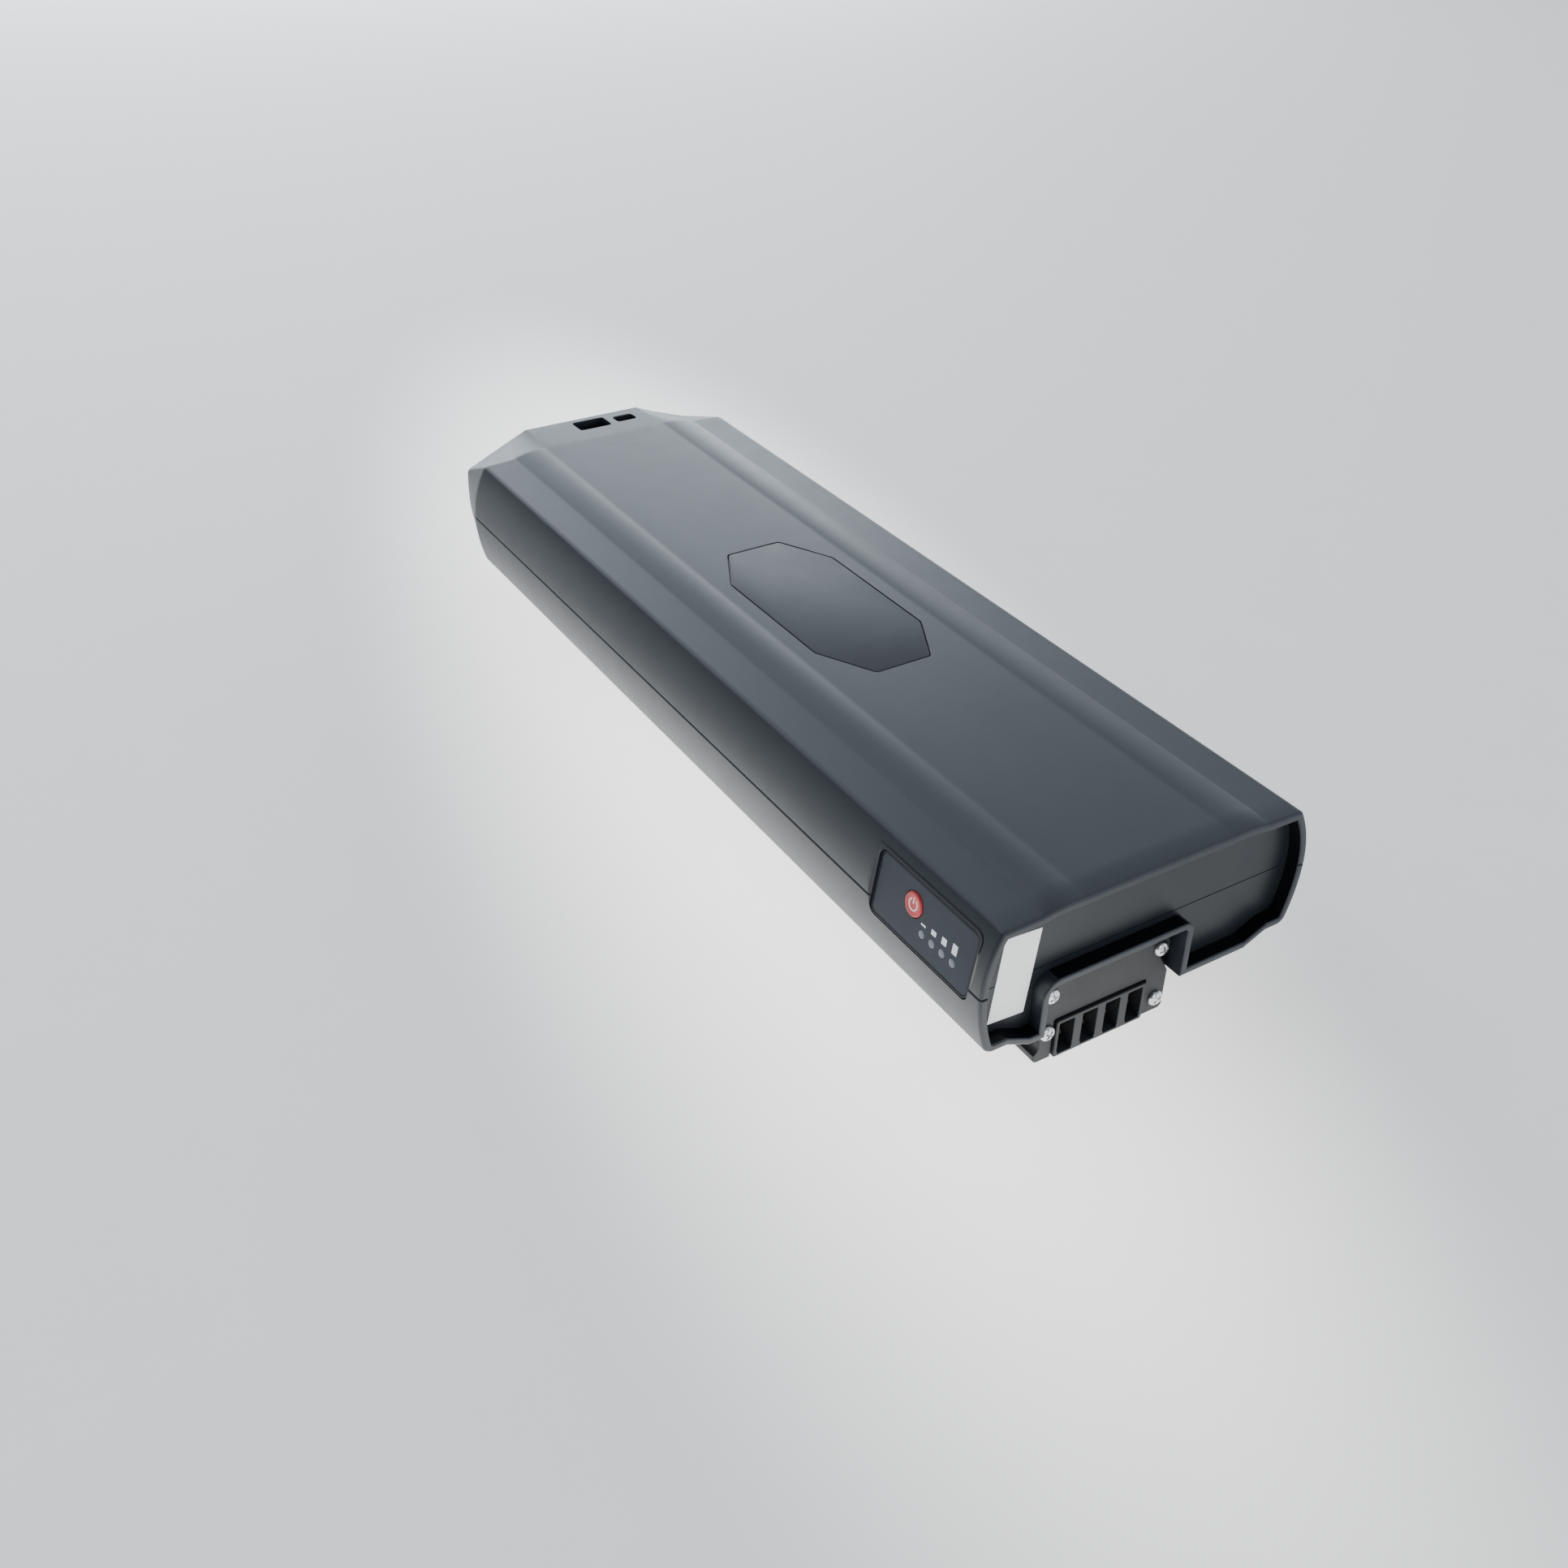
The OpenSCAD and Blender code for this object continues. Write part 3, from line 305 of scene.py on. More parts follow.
def arc(centre: Point2, radius: float, start: float, stop: float, steps: int) -> list[Point2]:
    """Points of an arc between two angles in degrees, one more than its chords."""
    turn = [math.radians(start + (stop - start) * i / steps) for i in range(steps + 1)]
    return [(centre[0] + radius * math.cos(a), centre[1] + radius * math.sin(a)) for a in turn]


def quarter(steps: int) -> list[Point2]:
    """Steps of a quarter turn, as (advance, inset) shares of the radius, to no inset."""
    turns = [math.pi / 2 * k / steps for k in range(steps + 1)]
    return [(1 - math.cos(a), 1 - math.sin(a)) for a in turns]


def fillet(corners: Sequence[Point3], steps: int) -> list[Point2]:
    """Rounds the corners of a polygon.

    Args:
        corners: Each corner as x, y and rounding radius; a radius of 0 leaves it sharp.
        steps: Chords in each rounding.

    Returns:
        The rounded outline in the same order.
    """
    made: list[Point2] = []
    for i, (x, y, r) in enumerate(corners):
        here = Vector((x, y))
        to_last = (Vector(corners[i - 1][:2]) - here).normalized()
        to_next = (Vector(corners[(i + 1) % len(corners)][:2]) - here).normalized()
        turn = to_last.angle(to_next)
        if r <= 0 or math.pi - turn < 1e-4:
            made.append((x, y))
            continue
        reach = r / math.tan(turn / 2)
        middle = here + (to_last + to_next).normalized() * (r / math.sin(turn / 2))
        first, last = here + to_last * reach - middle, here + to_next * reach - middle
        swing = first.angle_signed(last)
        base = math.atan2(first.y, first.x)
        made += [(middle.x + r * math.cos(base - swing * k / steps),
                  middle.y + r * math.sin(base - swing * k / steps)) for k in range(steps + 1)]
    return made


def plate(width: float, height: float, radius: float, at: Point2 = (0.0, 0.0),
          steps: int = 6) -> list[Point2]:
    """An anticlockwise rectangle with rounded corners round its centre."""
    w, h = width / 2, height / 2
    return fillet([(at[0] - w, at[1] - h, radius), (at[0] + w, at[1] - h, radius),
                   (at[0] + w, at[1] + h, radius), (at[0] - w, at[1] + h, radius)], steps)


def grow(outline: Sequence[Point2], by: float) -> list[Point2]:
    """Moves an anticlockwise outline outwards by a small distance.

    Args:
        outline: The outline.
        by: Distance; below zero draws it in.

    Returns:
        The moved outline, point for point.
    """
    if abs(by) < 1e-9:
        return list(outline)
    made = []
    for i, (x, y) in enumerate(outline):
        px, py = outline[i - 1]
        nx, ny = outline[(i + 1) % len(outline)]
        mean = Vector((y - py, px - x)).normalized() + Vector((ny - y, x - nx)).normalized()
        scale = 2.0 / max(mean.length_squared, 0.8)
        made.append((x + mean.x * scale * by, y + mean.y * scale * by))
    return made


def dense(outline: Sequence[Point2], step: float = 1.0) -> list[Point2]:
    """Divides the long edges of an outline.

    Args:
        outline: The outline.
        step: Longest edge left.

    Returns:
        The outline with more points.
    """
    made: list[Point2] = []
    for i, (x, y) in enumerate(outline):
        nx, ny = outline[(i + 1) % len(outline)]
        parts = max(1, math.ceil(math.hypot(nx - x, ny - y) / step))
        made += [(x + (nx - x) * k / parts, y + (ny - y) * k / parts) for k in range(parts)]
    return made


def flat_xz(x: float, z: float, depth: float) -> Point3:
    """Places an outline drawn in X and Z; depth runs along Y."""
    return (x, depth, z)


def flat_xy(x: float, y: float, depth: float) -> Point3:
    """Places an outline drawn in X and Y; depth runs down from zero height."""
    return (x, y, -depth)


def upright(at: Point3, axis: Point3) -> Matrix:
    """Turns local Z into an axis and moves the origin to a place."""
    turn = Vector((0, 0, 1)).rotation_difference(Vector(axis))
    return Matrix.Translation(at) @ turn.to_matrix().to_4x4()


# Meshes

SHARP, CARVED_SHARP, SCREW_SHARP = 32.0, 30.0, 28.0
# How far a cutter stands out of the face that it opens
OVER = 0.05


@dataclass
class Solid:
    """A closed mesh under construction, in millimetres.

    Attributes:
        name: Name of the piece it becomes.
        bm: The mesh.
    """

    name: str
    bm: bmesh.types.BMesh = field(default_factory=bmesh.new)

    def loft(self, rings: Sequence[Ring]) -> "Solid":
        """Adds a skin through rings of the same length, with a face on both ends.

        Args:
            rings: Rings of points.

        Returns:
            Itself.
        """
        rows = [[self.bm.verts.new(p) for p in ring] for ring in rings]
        n = len(rows[0])
        for a, b in zip(rows, rows[1:]):
            for i in range(n):
                j = (i + 1) % n
                self.bm.faces.new((a[i], a[j], b[j], b[i]))
        self.bm.faces.new(list(reversed(rows[0])))
        self.bm.faces.new(rows[-1])
        return self

    def prism(self, outline: Sequence[Point2], near: float, far: float, place: Place,
              rim: float = 0.0, steps: int = 3) -> "Solid":
        """Adds a slab, its first rim rounded, or flared where the rounding is below zero.

        Args:
            outline: Anticlockwise outline.
            near: Depth of the first face.
            far: Depth of the last face.
            place: Puts (x, y, depth) in the row frame.
            rim: Rounding of the first face's rim.
            steps: Chords in the rounding.

        Returns:
            Itself.
        """
        levels = [(near + abs(rim) * run, -rim * inset)
                  for run, inset in (quarter(steps) if rim else [(0.0, 0.0)])]
        return self.loft([[place(x, y, depth) for x, y in grow(outline, by)]
                          for depth, by in levels + [(far, 0.0)]])

    def block(self, low: Point3, high: Point3) -> "Solid":
        """Adds a box.

        Args:
            low: Lowest corner.
            high: Highest corner.

        Returns:
            Itself.
        """
        for v in bmesh.ops.create_cube(self.bm, size=1.0)["verts"]:
            v.co = Vector((a + b) / 2 + c * (b - a) for a, b, c in zip(low, high, v.co))
        return self

    def turned(self, profile: Sequence[Point2], at: Matrix, steps: int) -> "Solid":
        """Adds a solid of revolution.

        Args:
            profile: Radius and height of each point; both ends lie on the axis.
            at: Turns local Z into the axis and moves it.
            steps: Faces round.

        Returns:
            Itself.
        """
        before = set(self.bm.verts)
        line = [self.bm.verts.new((r, 0, h)) for r, h in profile]
        edges = [self.bm.edges.new(pair) for pair in zip(line, line[1:])]
        bmesh.ops.spin(self.bm, geom=line + edges, cent=(0, 0, 0), axis=(0, 0, 1),
                       angle=math.tau, steps=steps, use_merge=True)
        fresh = [v for v in self.bm.verts if v not in before]
        bmesh.ops.remove_doubles(self.bm, verts=fresh, dist=1e-5)
        fresh = [v for v in self.bm.verts if v not in before]
        bmesh.ops.transform(self.bm, matrix=at, verts=fresh)
        return self

    def object(self, material: bpy.types.Material | None = None) -> bpy.types.Object:
        """Turns the mesh into an object, in metres, with outward normals.

        Args:
            material: Its material.

        Returns:
            The object.
        """
        bmesh.ops.recalc_face_normals(self.bm, faces=self.bm.faces)
        bmesh.ops.scale(self.bm, vec=(MM, MM, MM), verts=self.bm.verts)
        mesh = bpy.data.meshes.new(self.name)
        self.bm.to_mesh(mesh)
        self.bm.free()
        made = bpy.data.objects.new(self.name, mesh)
        bpy.context.scene.collection.objects.link(made)
        if material:
            mesh.materials.append(material)
        smooth(made, SHARP)
        return made

    def piece(self, slot: str, steps: Sequence[tuple[Carve, "Solid"]] = (),
              body: Body = Body.CASE, finish: Finish | None = None,
              sharp: float = CARVED_SHARP) -> None:
        """Turns the mesh into a finished piece and hands it to the frame.

        Args:
            slot: Its material slot in the record.
            steps: Carving that is done to it.
            body: The body that it rides on.
            finish: Its finish, if that isn't the slot's own.
            sharp: Angle in degrees above which a carved edge stays sharp.
        """
        made = self.object((finish or FINISHES[slot]).build())
        if steps:
            carve(made, steps, sharp)
        place(made, slot, body)


def smooth(piece: bpy.types.Object, sharp: float) -> None:
    """Shades a piece smooth, but for its sharp edges.

    Args:
        piece: The piece.
        sharp: Angle in degrees above which an edge stays sharp.
    """
    mesh = piece.data
    mesh.polygons.foreach_set("use_smooth", [True] * len(mesh.polygons))
    mesh.set_sharp_from_angle(angle=math.radians(sharp))


def carve(piece: bpy.types.Object, steps: Iterable[tuple[Carve, Solid]],
          sharp: float = CARVED_SHARP) -> None:
    """Changes a solid with others, one after another, and bakes the result.

    Args:
        piece: The solid that is changed.
        steps: What each next solid does.
        sharp: Angle in degrees above which an edge stays sharp.
    """
    tools = []
    for how, tool in steps:
        other = tool.object()
        change = piece.modifiers.new(tool.name, "BOOLEAN")
        change.operation = how.value
        change.solver = "MANIFOLD"
        change.object = other
        tools.append(other)
    bpy.context.view_layer.update()
    graph = bpy.context.evaluated_depsgraph_get()
    baked = bpy.data.meshes.new_from_object(piece.evaluated_get(graph))
    piece.modifiers.clear()
    old, piece.data = piece.data, baked
    baked.name = piece.name
    bpy.data.meshes.remove(old)
    for other in tools:
        mesh = other.data
        bpy.data.objects.remove(other)
        bpy.data.meshes.remove(mesh)
    smooth(piece, sharp)
    weigh = piece.modifiers.new("even", "WEIGHTED_NORMAL")
    weigh.keep_sharp = True
    weigh.weight = 60


def cuts(*solids: Solid) -> list[tuple[Carve, Solid]]:
    """Carving steps that cut the solids away, in their order."""
    return [(Carve.CUT, solid) for solid in solids]


def rod(name: str, radius: float, start: Point3, stop: Point3, steps: int = 32) -> Solid:
    """A round bar from the middle of its first end to that of its last."""
    way = Vector(stop) - Vector(start)
    return Solid(name).turned([(0, 0), (radius, 0), (radius, way.length), (0, way.length)],
                              upright(start, way), steps)


def post(name: str, size: Point3, at: Point2) -> Solid:
    """An upright bar at a place, by its radius, foot and top."""
    return rod(name, size[0], (*at, size[1]), (*at, size[2]))


def place(piece: bpy.types.Object, slot: str, body: Body = Body.CASE) -> None:
    """Hands a piece to the frame; one named NODE_skin stands for the CAD node NODE.

    Args:
        piece: The piece.
        slot: Its material slot in the record; not used.
        body: The body that it rides on.
    """
    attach(piece, body.value)
    node = piece.name.removesuffix(SKIN)
    if node != piece.name:
        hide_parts(node)
    log.info("%s: %d faces", piece.name, len(piece.data.polygons))


# The case

HALF_W, BODY_LEN, NOSE_LEN, WALL = 65.0, 368.0, 26.0, 2.8
Z_FLAT, Z_FOOT, Z_SEAM, Z_SHOULDER, Z_CROWN, Z_TOP = 15.5, 19.5, 42.1, 65.3, 67.6, 67.7
SHOULDER_R, FOOT_R, LOWER_R, UPPER_R = 2.6, 4.0, 62.0, 45.0
# How far the front edge of the top dips, over which length and above which height
DIP_LEN, DIP_SHARE, Z_DIP = 9.0, 0.48, 64.3
RECESS, END_WALL, SEAM_DROP, TIP_BREAK, TIP_WALL = 5.5, 2.5, 2.4, 1.5, 3.0
Y_TIP = (BODY_LEN + NOSE_LEN) / 2
Y_RIM = -Y_TIP
Y_CREASE = Y_RIM + BODY_LEN
Y_WALL = Y_RIM + RECESS
Y_CAVITY = Y_WALL + END_WALL
Z_END_SEAM = Z_SEAM - SEAM_DROP
TIP_SHARE, TIP_LIFT, NOSE_FALL = 0.889, 8.0, 0.7
# Half length of the softened crease
CREASE_SOFT = 1.3
# Share of a flank's arc that is drawn, and the length of the ends eased round it
FLANK_SHARE, EASE = 0.93, 0.6
CROWN_STOPS = (0.97, 0.88, 0.76, 0.6, 0.35, 0.05)
# Where the recess's sides begin and end, and how far their faces and its floor's look along Y; these
# faces get painted shade
LIP_END, FLOOR_END, SIDE_MOST, FLOOR_LEAST = 0.55, 0.7, 0.8, 0.95
# Height over the seam and inset of each ring round a shell, with the groove and the edge break
TOP_ZONE = ((0.0, 0.9), (0.5, 0.9), (0.501, 0.3), (0.8, -0.05), (0.81, -3.0), (60.0, -3.0))
BOTTOM_ZONE = ((-60.0, -3.0), (-0.31, -3.0), (-0.3, -0.05), (0.0, 0.3))


@dataclass(frozen=True)
class Section:
    """One cross-section of the case.

    Attributes:
        hw: Half width at the seam.
        under: Half width and height of the flat underside.
        foot: Half width and height where the side foot begins.
        corner_z: Height of the shoulder.
        corner_turn: Angle at which the shoulder's rounding ends.
        valley: Outer foot of the rib beside the crown.
        crown: Edge of the crown.
        flank_r: Radius of the upper flank.
        bulge: How far the rib's arc stands above the chord from foot to crown.
        rise: How much higher the middle of the crown is than its edge.
    """

    hw: float
    under: Point2
    foot: Point2
    corner_z: float
    corner_turn: float
    valley: Point2
    crown: Point2
    flank_r: float
    bulge: float = 0.0
    rise: float = 0.0

    def ring(self, inset: float) -> list[Point2]:
        """Outline of the section, drawn in on all sides.

        Args:
            inset: How far it is drawn in.

        Returns:
            The closed outline, anticlockwise from the underside.
        """
        rs, rf = max(SHOULDER_R - inset, 0.05), max(FOOT_R - inset, 0.05)
        up, low = self.flank_r - inset - rs, LOWER_R - inset - rf
        a_up = math.degrees(math.asin((self.corner_z - inset - rs - Z_SEAM) / up))
        a_low = math.degrees(math.asin((Z_SEAM - self.foot[1] - inset - rf) / low))
        c_up = (self.hw - self.flank_r + up * math.cos(math.radians(a_up)),
                self.corner_z - inset - rs)
        c_low = (self.hw - LOWER_R + low * math.cos(math.radians(a_low)),
                 self.foot[1] + inset + rf)
        half = [(x + ease, z + inset) for (x, z), eases in ((self.under, (-EASE, 0.0)),
                                                            (self.foot, (0.0, EASE)))
                for ease in eases]
        half += arc(c_low, rf, -90, -a_low, 8)
        half += arc((self.hw - LOWER_R, Z_SEAM), LOWER_R - inset, -a_low * FLANK_SHARE, 0, 13)
        half += arc((self.hw - self.flank_r, Z_SEAM), self.flank_r - inset,
                    a_up * 0.07, a_up * FLANK_SHARE, 13)
        half += arc(c_up, rs, a_up, self.corner_turn, 8)
        (vx, vz), (cx, cz) = self.valley, self.crown
        half += [(vx + (cx - vx) * u, vz + (cz - vz) * u + 4 * self.bulge * u * (1 - u) - inset)
                 for u in (i / 16 for i in range(17))]
        half += [(cx * s, cz + self.rise * (1 - s ** 4) - inset) for s in CROWN_STOPS]
        return half + [(-x, z) for x, z in reversed(half)]


BODY = Section(HALF_W, (44.0, Z_FLAT), (53.0, Z_FOOT), Z_SHOULDER, 87.0,
               (44.7, 65.9), (29.4, Z_CROWN - 0.2), UPPER_R, 0.85, 0.22)
_corner = (HALF_W * TIP_SHARE - SHOULDER_R / 2, Z_SEAM + 12.8)
_crown = (28.0, Z_CROWN - NOSE_FALL)
_slope = math.degrees(math.atan2(_crown[1] - _corner[1], _corner[0] - _crown[0]))
TIP = Section(HALF_W * TIP_SHARE, (44.0 * TIP_SHARE, Z_FLAT + TIP_LIFT),
              (53.0 * TIP_SHARE, Z_FOOT + TIP_LIFT), _corner[1], 90.0 - _slope,
              (_crown[0] + 0.3 * (_corner[0] - _crown[0]),
               _crown[1] + 0.3 * (_corner[1] - _crown[1])), _crown, 123.0)


def flank_x(z: float) -> float:
    """Half width of the case at a height."""
    r = UPPER_R if z > Z_SEAM else LOWER_R
    return HALF_W - r + math.sqrt(r * r - (z - Z_SEAM) ** 2)


def section_at(y: float, inset: float) -> Ring:
    """The case's ring at a distance along Y, with a softened crease and a front dip.

    Args:
        y: Where.
        inset: How far the ring is drawn in.

    Returns:
        The ring's points.
    """
    reach, run = NOSE_LEN - TIP_BREAK, y - Y_CREASE
    if run <= -CREASE_SOFT:
        share = 0.0
    elif run < CREASE_SOFT:
        share = (run + CREASE_SOFT) ** 2 / (4 * CREASE_SOFT) / reach
    else:
        share = run / reach
    dip = DIP_SHARE * max(0.0, 1 - (y - Y_RIM) / DIP_LEN) ** 2
    ring = []
    for (ax, az), (bx, bz) in zip(BODY.ring(inset), TIP.ring(inset)):
        z = az + (bz - az) * share
        z -= dip * max(0.0, z + inset - Z_DIP)
        ring.append((ax + (bx - ax) * share, y, z))
    return ring


def on_nose(x: float, y: float, depth: float) -> Point3:
    """Places a point at a depth below the sloping top of the nose."""
    return (x, y, Z_CROWN - NOSE_FALL * (y - Y_CREASE) / (NOSE_LEN - TIP_BREAK) - depth)


@dataclass(frozen=True)
class CaseShells:
    """Top and bottom shell: rim, end wall, connector bay, nose and all openings.

    Attributes:
        rim_round: Outer rounding of the front rim.
        lip_round: Inner rounding of the front rim.
        floor_round: Rounding between the recess's sides and the end wall.
        slots: Centre, width and height of the lock's and the latch's slot.
        slot_corner: Rounding of the slots' corners.
        slot_deep: Their depth.
        slot_flare: Rounding of their mouths.
        screw_x: Distance of each row of case screws from the middle.
        screw_ys: Places of the case screws along the case.
        boss: Radius, foot and top of each screw's boss.
        bore: Radius, foot and top of the space for its head.
        hole: Radius, foot and top of the hole for its shank.
        end_gap: Width of the seam across the end wall.
        lap: How far the end wall's upper half reaches up into the top shell.
    """

    rim_round: float = 1.1
    lip_round: float = 0.6
    floor_round: float = 0.6
    slots: tuple[tuple[Point2, float, float], ...] = (((1.0, 187.2), 15.2, 10.2),
                                                      ((17.3, 186.6), 9.4, 6.4))
    slot_corner: float = 1.4
    slot_deep: float = 12.0
    slot_flare: float = 0.5
    screw_x: float = 55.6
    screw_ys: tuple[float, ...] = (-131.0, -36.333, 58.333, 153.0)
    boss: Point3 = (4.2, 22.0, 59.0)
    bore: Point3 = (3.1, 10.0, 36.1)
    hole: Point3 = (1.55, 10.0, Z_SEAM + 4.05)
    end_gap: float = 0.35
    lap: float = 1.5

    def build(self) -> None:
        """Makes both shells and lets them stand for the CAD ones."""
        for side, name, slot in ((Side.TOP, "top_shell_skin", "shell_plastic"),
                                 (Side.BOTTOM, "bottom_shell_skin", "lower_plastic")):
            shell = self._outer(name).object()
            carve(shell, self._steps(side))
            self._shade(shell, FINISHES[slot])
            place(shell, slot)

    @staticmethod
    def _shade(shell: bpy.types.Object, finish: Finish) -> None:
        """Gives the shell its finish, and paints shade on the sides and floor of the front recess.

        Args:
            shell: The carved shell.
            finish: The shell's own finish.
        """
        mesh = shell.data
        mesh.materials.clear()
        for skin in (finish, PAINTED_RECESS_SHADE, PAINTED_END_WALL_SHADE):
            mesh.materials.append(skin.build())
        mesh.polygons.foreach_set("material_index", [0] * len(mesh.polygons))
        middle = (Z_FLAT + Z_TOP) / 2
        for face in mesh.polygons:
            x, y, z = (c / MM for c in face.center)
            inward = face.normal.x * x + face.normal.z * (z - middle) < 0
            # Faces of the recess's inner sides get the near-black painted shade
            if Y_RIM + LIP_END < y < Y_WALL + FLOOR_END and abs(face.normal.y) < SIDE_MOST and inward:
                face.material_index = 1
            # Front faces of the end wall get the darker copy of the shell plastic: painted shade
            elif face.normal.y < -FLOOR_LEAST and abs(y - Y_WALL) < 2 * OVER:
                face.material_index = 2

    def _outer(self, name: str) -> Solid:
        """The whole case as one closed solid.

        Args:
            name: Name of the piece.

        Returns:
            The solid.
        """
        r = self.rim_round
        rings = [section_at(Y_RIM + r * run, r * inset) for run, inset in quarter(5)]
        rings += [section_at(Y_RIM + d, 0) for d in (2.0, 3.2, 4.6, 6.4, DIP_LEN)]
        rings += [section_at(Y_CREASE + d, 0) for d in
                  (-CREASE_SOFT, -CREASE_SOFT / 2, 0.0, CREASE_SOFT / 2, CREASE_SOFT, 13.0)]
        rings += [section_at(Y_TIP - TIP_BREAK * run, TIP_BREAK * inset)
                  for run, inset in reversed(quarter(5))]
        return Solid(name).loft(rings)

    def _hollows(self) -> list[Solid]:
        """The space before the end wall and those inside the case.

        Returns:
            Solids to cut away.
        """
        r, deep = self.lip_round, self.floor_round
        mouth = [section_at(Y_RIM - 1.0, WALL - r)]
        mouth += [section_at(Y_RIM + r * run, WALL - r * inset) for run, inset in quarter(4)]
        mouth += [section_at(Y_WALL - deep * run, WALL + deep * inset)
                  for run, inset in reversed(quarter(3))]
        main = [section_at(y, WALL) for y in (Y_CAVITY, Y_CREASE - WALL)]
        nose = [section_at(y, WALL) for y in (Y_CREASE, Y_TIP - TIP_WALL)]
        return [Solid("mouth").loft(mouth), Solid("main").loft(main), Solid("nose").loft(nose)]

    @staticmethod
    def _zone(side: Side) -> Solid:
        """Everything on one side of the seam, with the seam's shadow groove and edge break.

        Args:
            side: Which shell.

        Returns:
            The solid to keep.
        """
        far = HALF_W * TIP_SHARE
        right = [(HALF_W, Y_RIM), (HALF_W, Y_CREASE), (far, Y_TIP - TIP_BREAK),
                 (far - TIP_BREAK, Y_TIP)]
        plan = [(-HALF_W, Y_RIM), *right, *((-x, y) for x, y in reversed(right[1:]))]
        return Solid("zone").loft([[(x, y, Z_SEAM + h) for x, y in grow(plan, -inset)]
                                   for h, inset in
                                   (TOP_ZONE if side is Side.TOP else BOTTOM_ZONE)])

    def _steps(self, side: Side) -> list[tuple[Carve, Solid]]:
        """All the carving that turns the solid case into one shell.

        Args:
            side: Which shell.

        Returns:
            The steps in order.
        """
        panel, edge = PowerPanel(), HALF_W - 2 * WALL
        screws = [(s * self.screw_x, y) for s in (-1, 1) for y in self.screw_ys]
        steps = cuts(*self._hollows())
        steps.append((Carve.ADD, panel.block()))
        steps += [(Carve.ADD, post("boss", self.boss, at)) for at in screws]
        steps.append((Carve.KEEP, self._zone(side)))
        if side is Side.TOP:
            steps.append((Carve.ADD, Solid("lip").block(
                (-edge, Y_WALL, Z_END_SEAM + self.end_gap), (edge, Y_CAVITY, Z_SEAM + self.lap))))
            steps += cuts(*(Solid("slot").prism(plate(w, h, self.slot_corner, at), -OVER,
                                                self.slot_deep, on_nose, -self.slot_flare, 4)
                            for at, w, h in self.slots), Badge().seat())
        else:
            steps += cuts(Solid("gap").block((-edge - 4 * OVER, Y_WALL - OVER, Z_END_SEAM),
                                             (edge + 4 * OVER, Y_CAVITY + OVER, Z_SEAM + 1.0)))
            steps += ConnectorBay().carving()
        for at in screws:
            steps += cuts(post("bore", self.bore, at), post("hole", self.hole, at))
        return steps + panel.opening()


@dataclass(frozen=True)
class Badge:
    """The bare octagonal plate set in the top.

    Attributes:
        width: Width across.
        end: Width of each end.
        length: Length along the case.
        taper: Length of each tapering end.
        middle: Middle of the plate along Y.
        gap: Gap all round.
        sink: How far its face lies below the top.
        thick: Thickness.
    """

    width: float = 45.6
    end: float = 22.8
    length: float = 103.6
    taper: float = 22.0
    middle: float = -11.0
    gap: float = 0.4
    sink: float = 0.02
    thick: float = 0.9

    def outline(self, by: float = 0.0) -> list[Point2]:
        """Outline of the plate.

        Args:
            by: How far it is grown.

        Returns:
            The outline, anticlockwise.
        """
        w, e, k = self.width / 2, self.end / 2, self.length / 2
        t = k - self.taper
        corners = [(-e, -k), (e, -k), (w, -t), (w, t), (e, k), (-e, k), (-w, t), (-w, -t)]
        return grow(fillet([(x, y + self.middle, 1.6) for x, y in corners], 5), by)

    def seat(self) -> Solid:
        """Cutter of the recess that takes the plate."""
        floor = Z_CROWN - self.sink - self.thick
        return Solid("badge_seat").prism(self.outline(self.gap), -Z_CROWN - OVER, -floor + 0.02,
                                         flat_xy, -0.3)

    def build(self) -> None:
        """Makes the plate with a bevelled rim."""
        top = Z_CROWN - self.sink
        Solid("badge_plate_skin").prism(self.outline(), -top, -(top - self.thick), flat_xy,
                                        0.35, 4).piece("badge_plastic")


# Screws

HEAD = ((0, 1.9), (0.8, 1.88), (1.5, 1.76), (2.05, 1.54), (2.45, 1.2), (2.7, 0.8), (2.8, 0.4),
        (2.8, 0.1), (2.7, 0.0), (1.5, 0.0))
# Half length, half width and height of the cross recess from its mouth to its floor
CROSS = ((2.0, 0.42, 2.2), (1.75, 0.36, 1.8), (0.7, 0.26, 0.55))


@dataclass(frozen=True)
class PanHeads:
    """A set of pan-head screws with cross recesses, modelled as separate solids.

    Attributes:
        node: CAD node that the set stands for.
        seats: Middle of each head's seat.
        axis: Direction from the seat to the top of the head.
        shank: Length of each shank.
        turns: Angle of each recess in degrees.
    """

    node: str
    seats: Sequence[Point3]
    axis: Point3
    shank: float
    turns: Sequence[float]

    def build(self) -> None:
        """Makes the screws."""
        profile = [*HEAD, (1.5, -self.shank + 0.6), (1.0, -self.shank), (0, -self.shank)]
        body = Solid(self.node + SKIN)
        bars = []
        for seat, angle in zip(self.seats, self.turns):
            local = upright(seat, self.axis) @ Matrix.Rotation(math.radians(angle), 4, "Z")
            body.turned(profile, local, 48)
            for turn in (0.0, math.pi / 2):
                at = local @ Matrix.Rotation(turn, 4, "Z")
                bars.append(Solid("cross").loft(
                    [[at @ Vector(p) for p in ((-l, -w, h), (l, -w, h), (l, w, h), (-l, w, h))]
                     for l, w, h in CROSS]))
        body.piece("screw_steel", cuts(*bars), sharp=SCREW_SHARP)


# The power panel

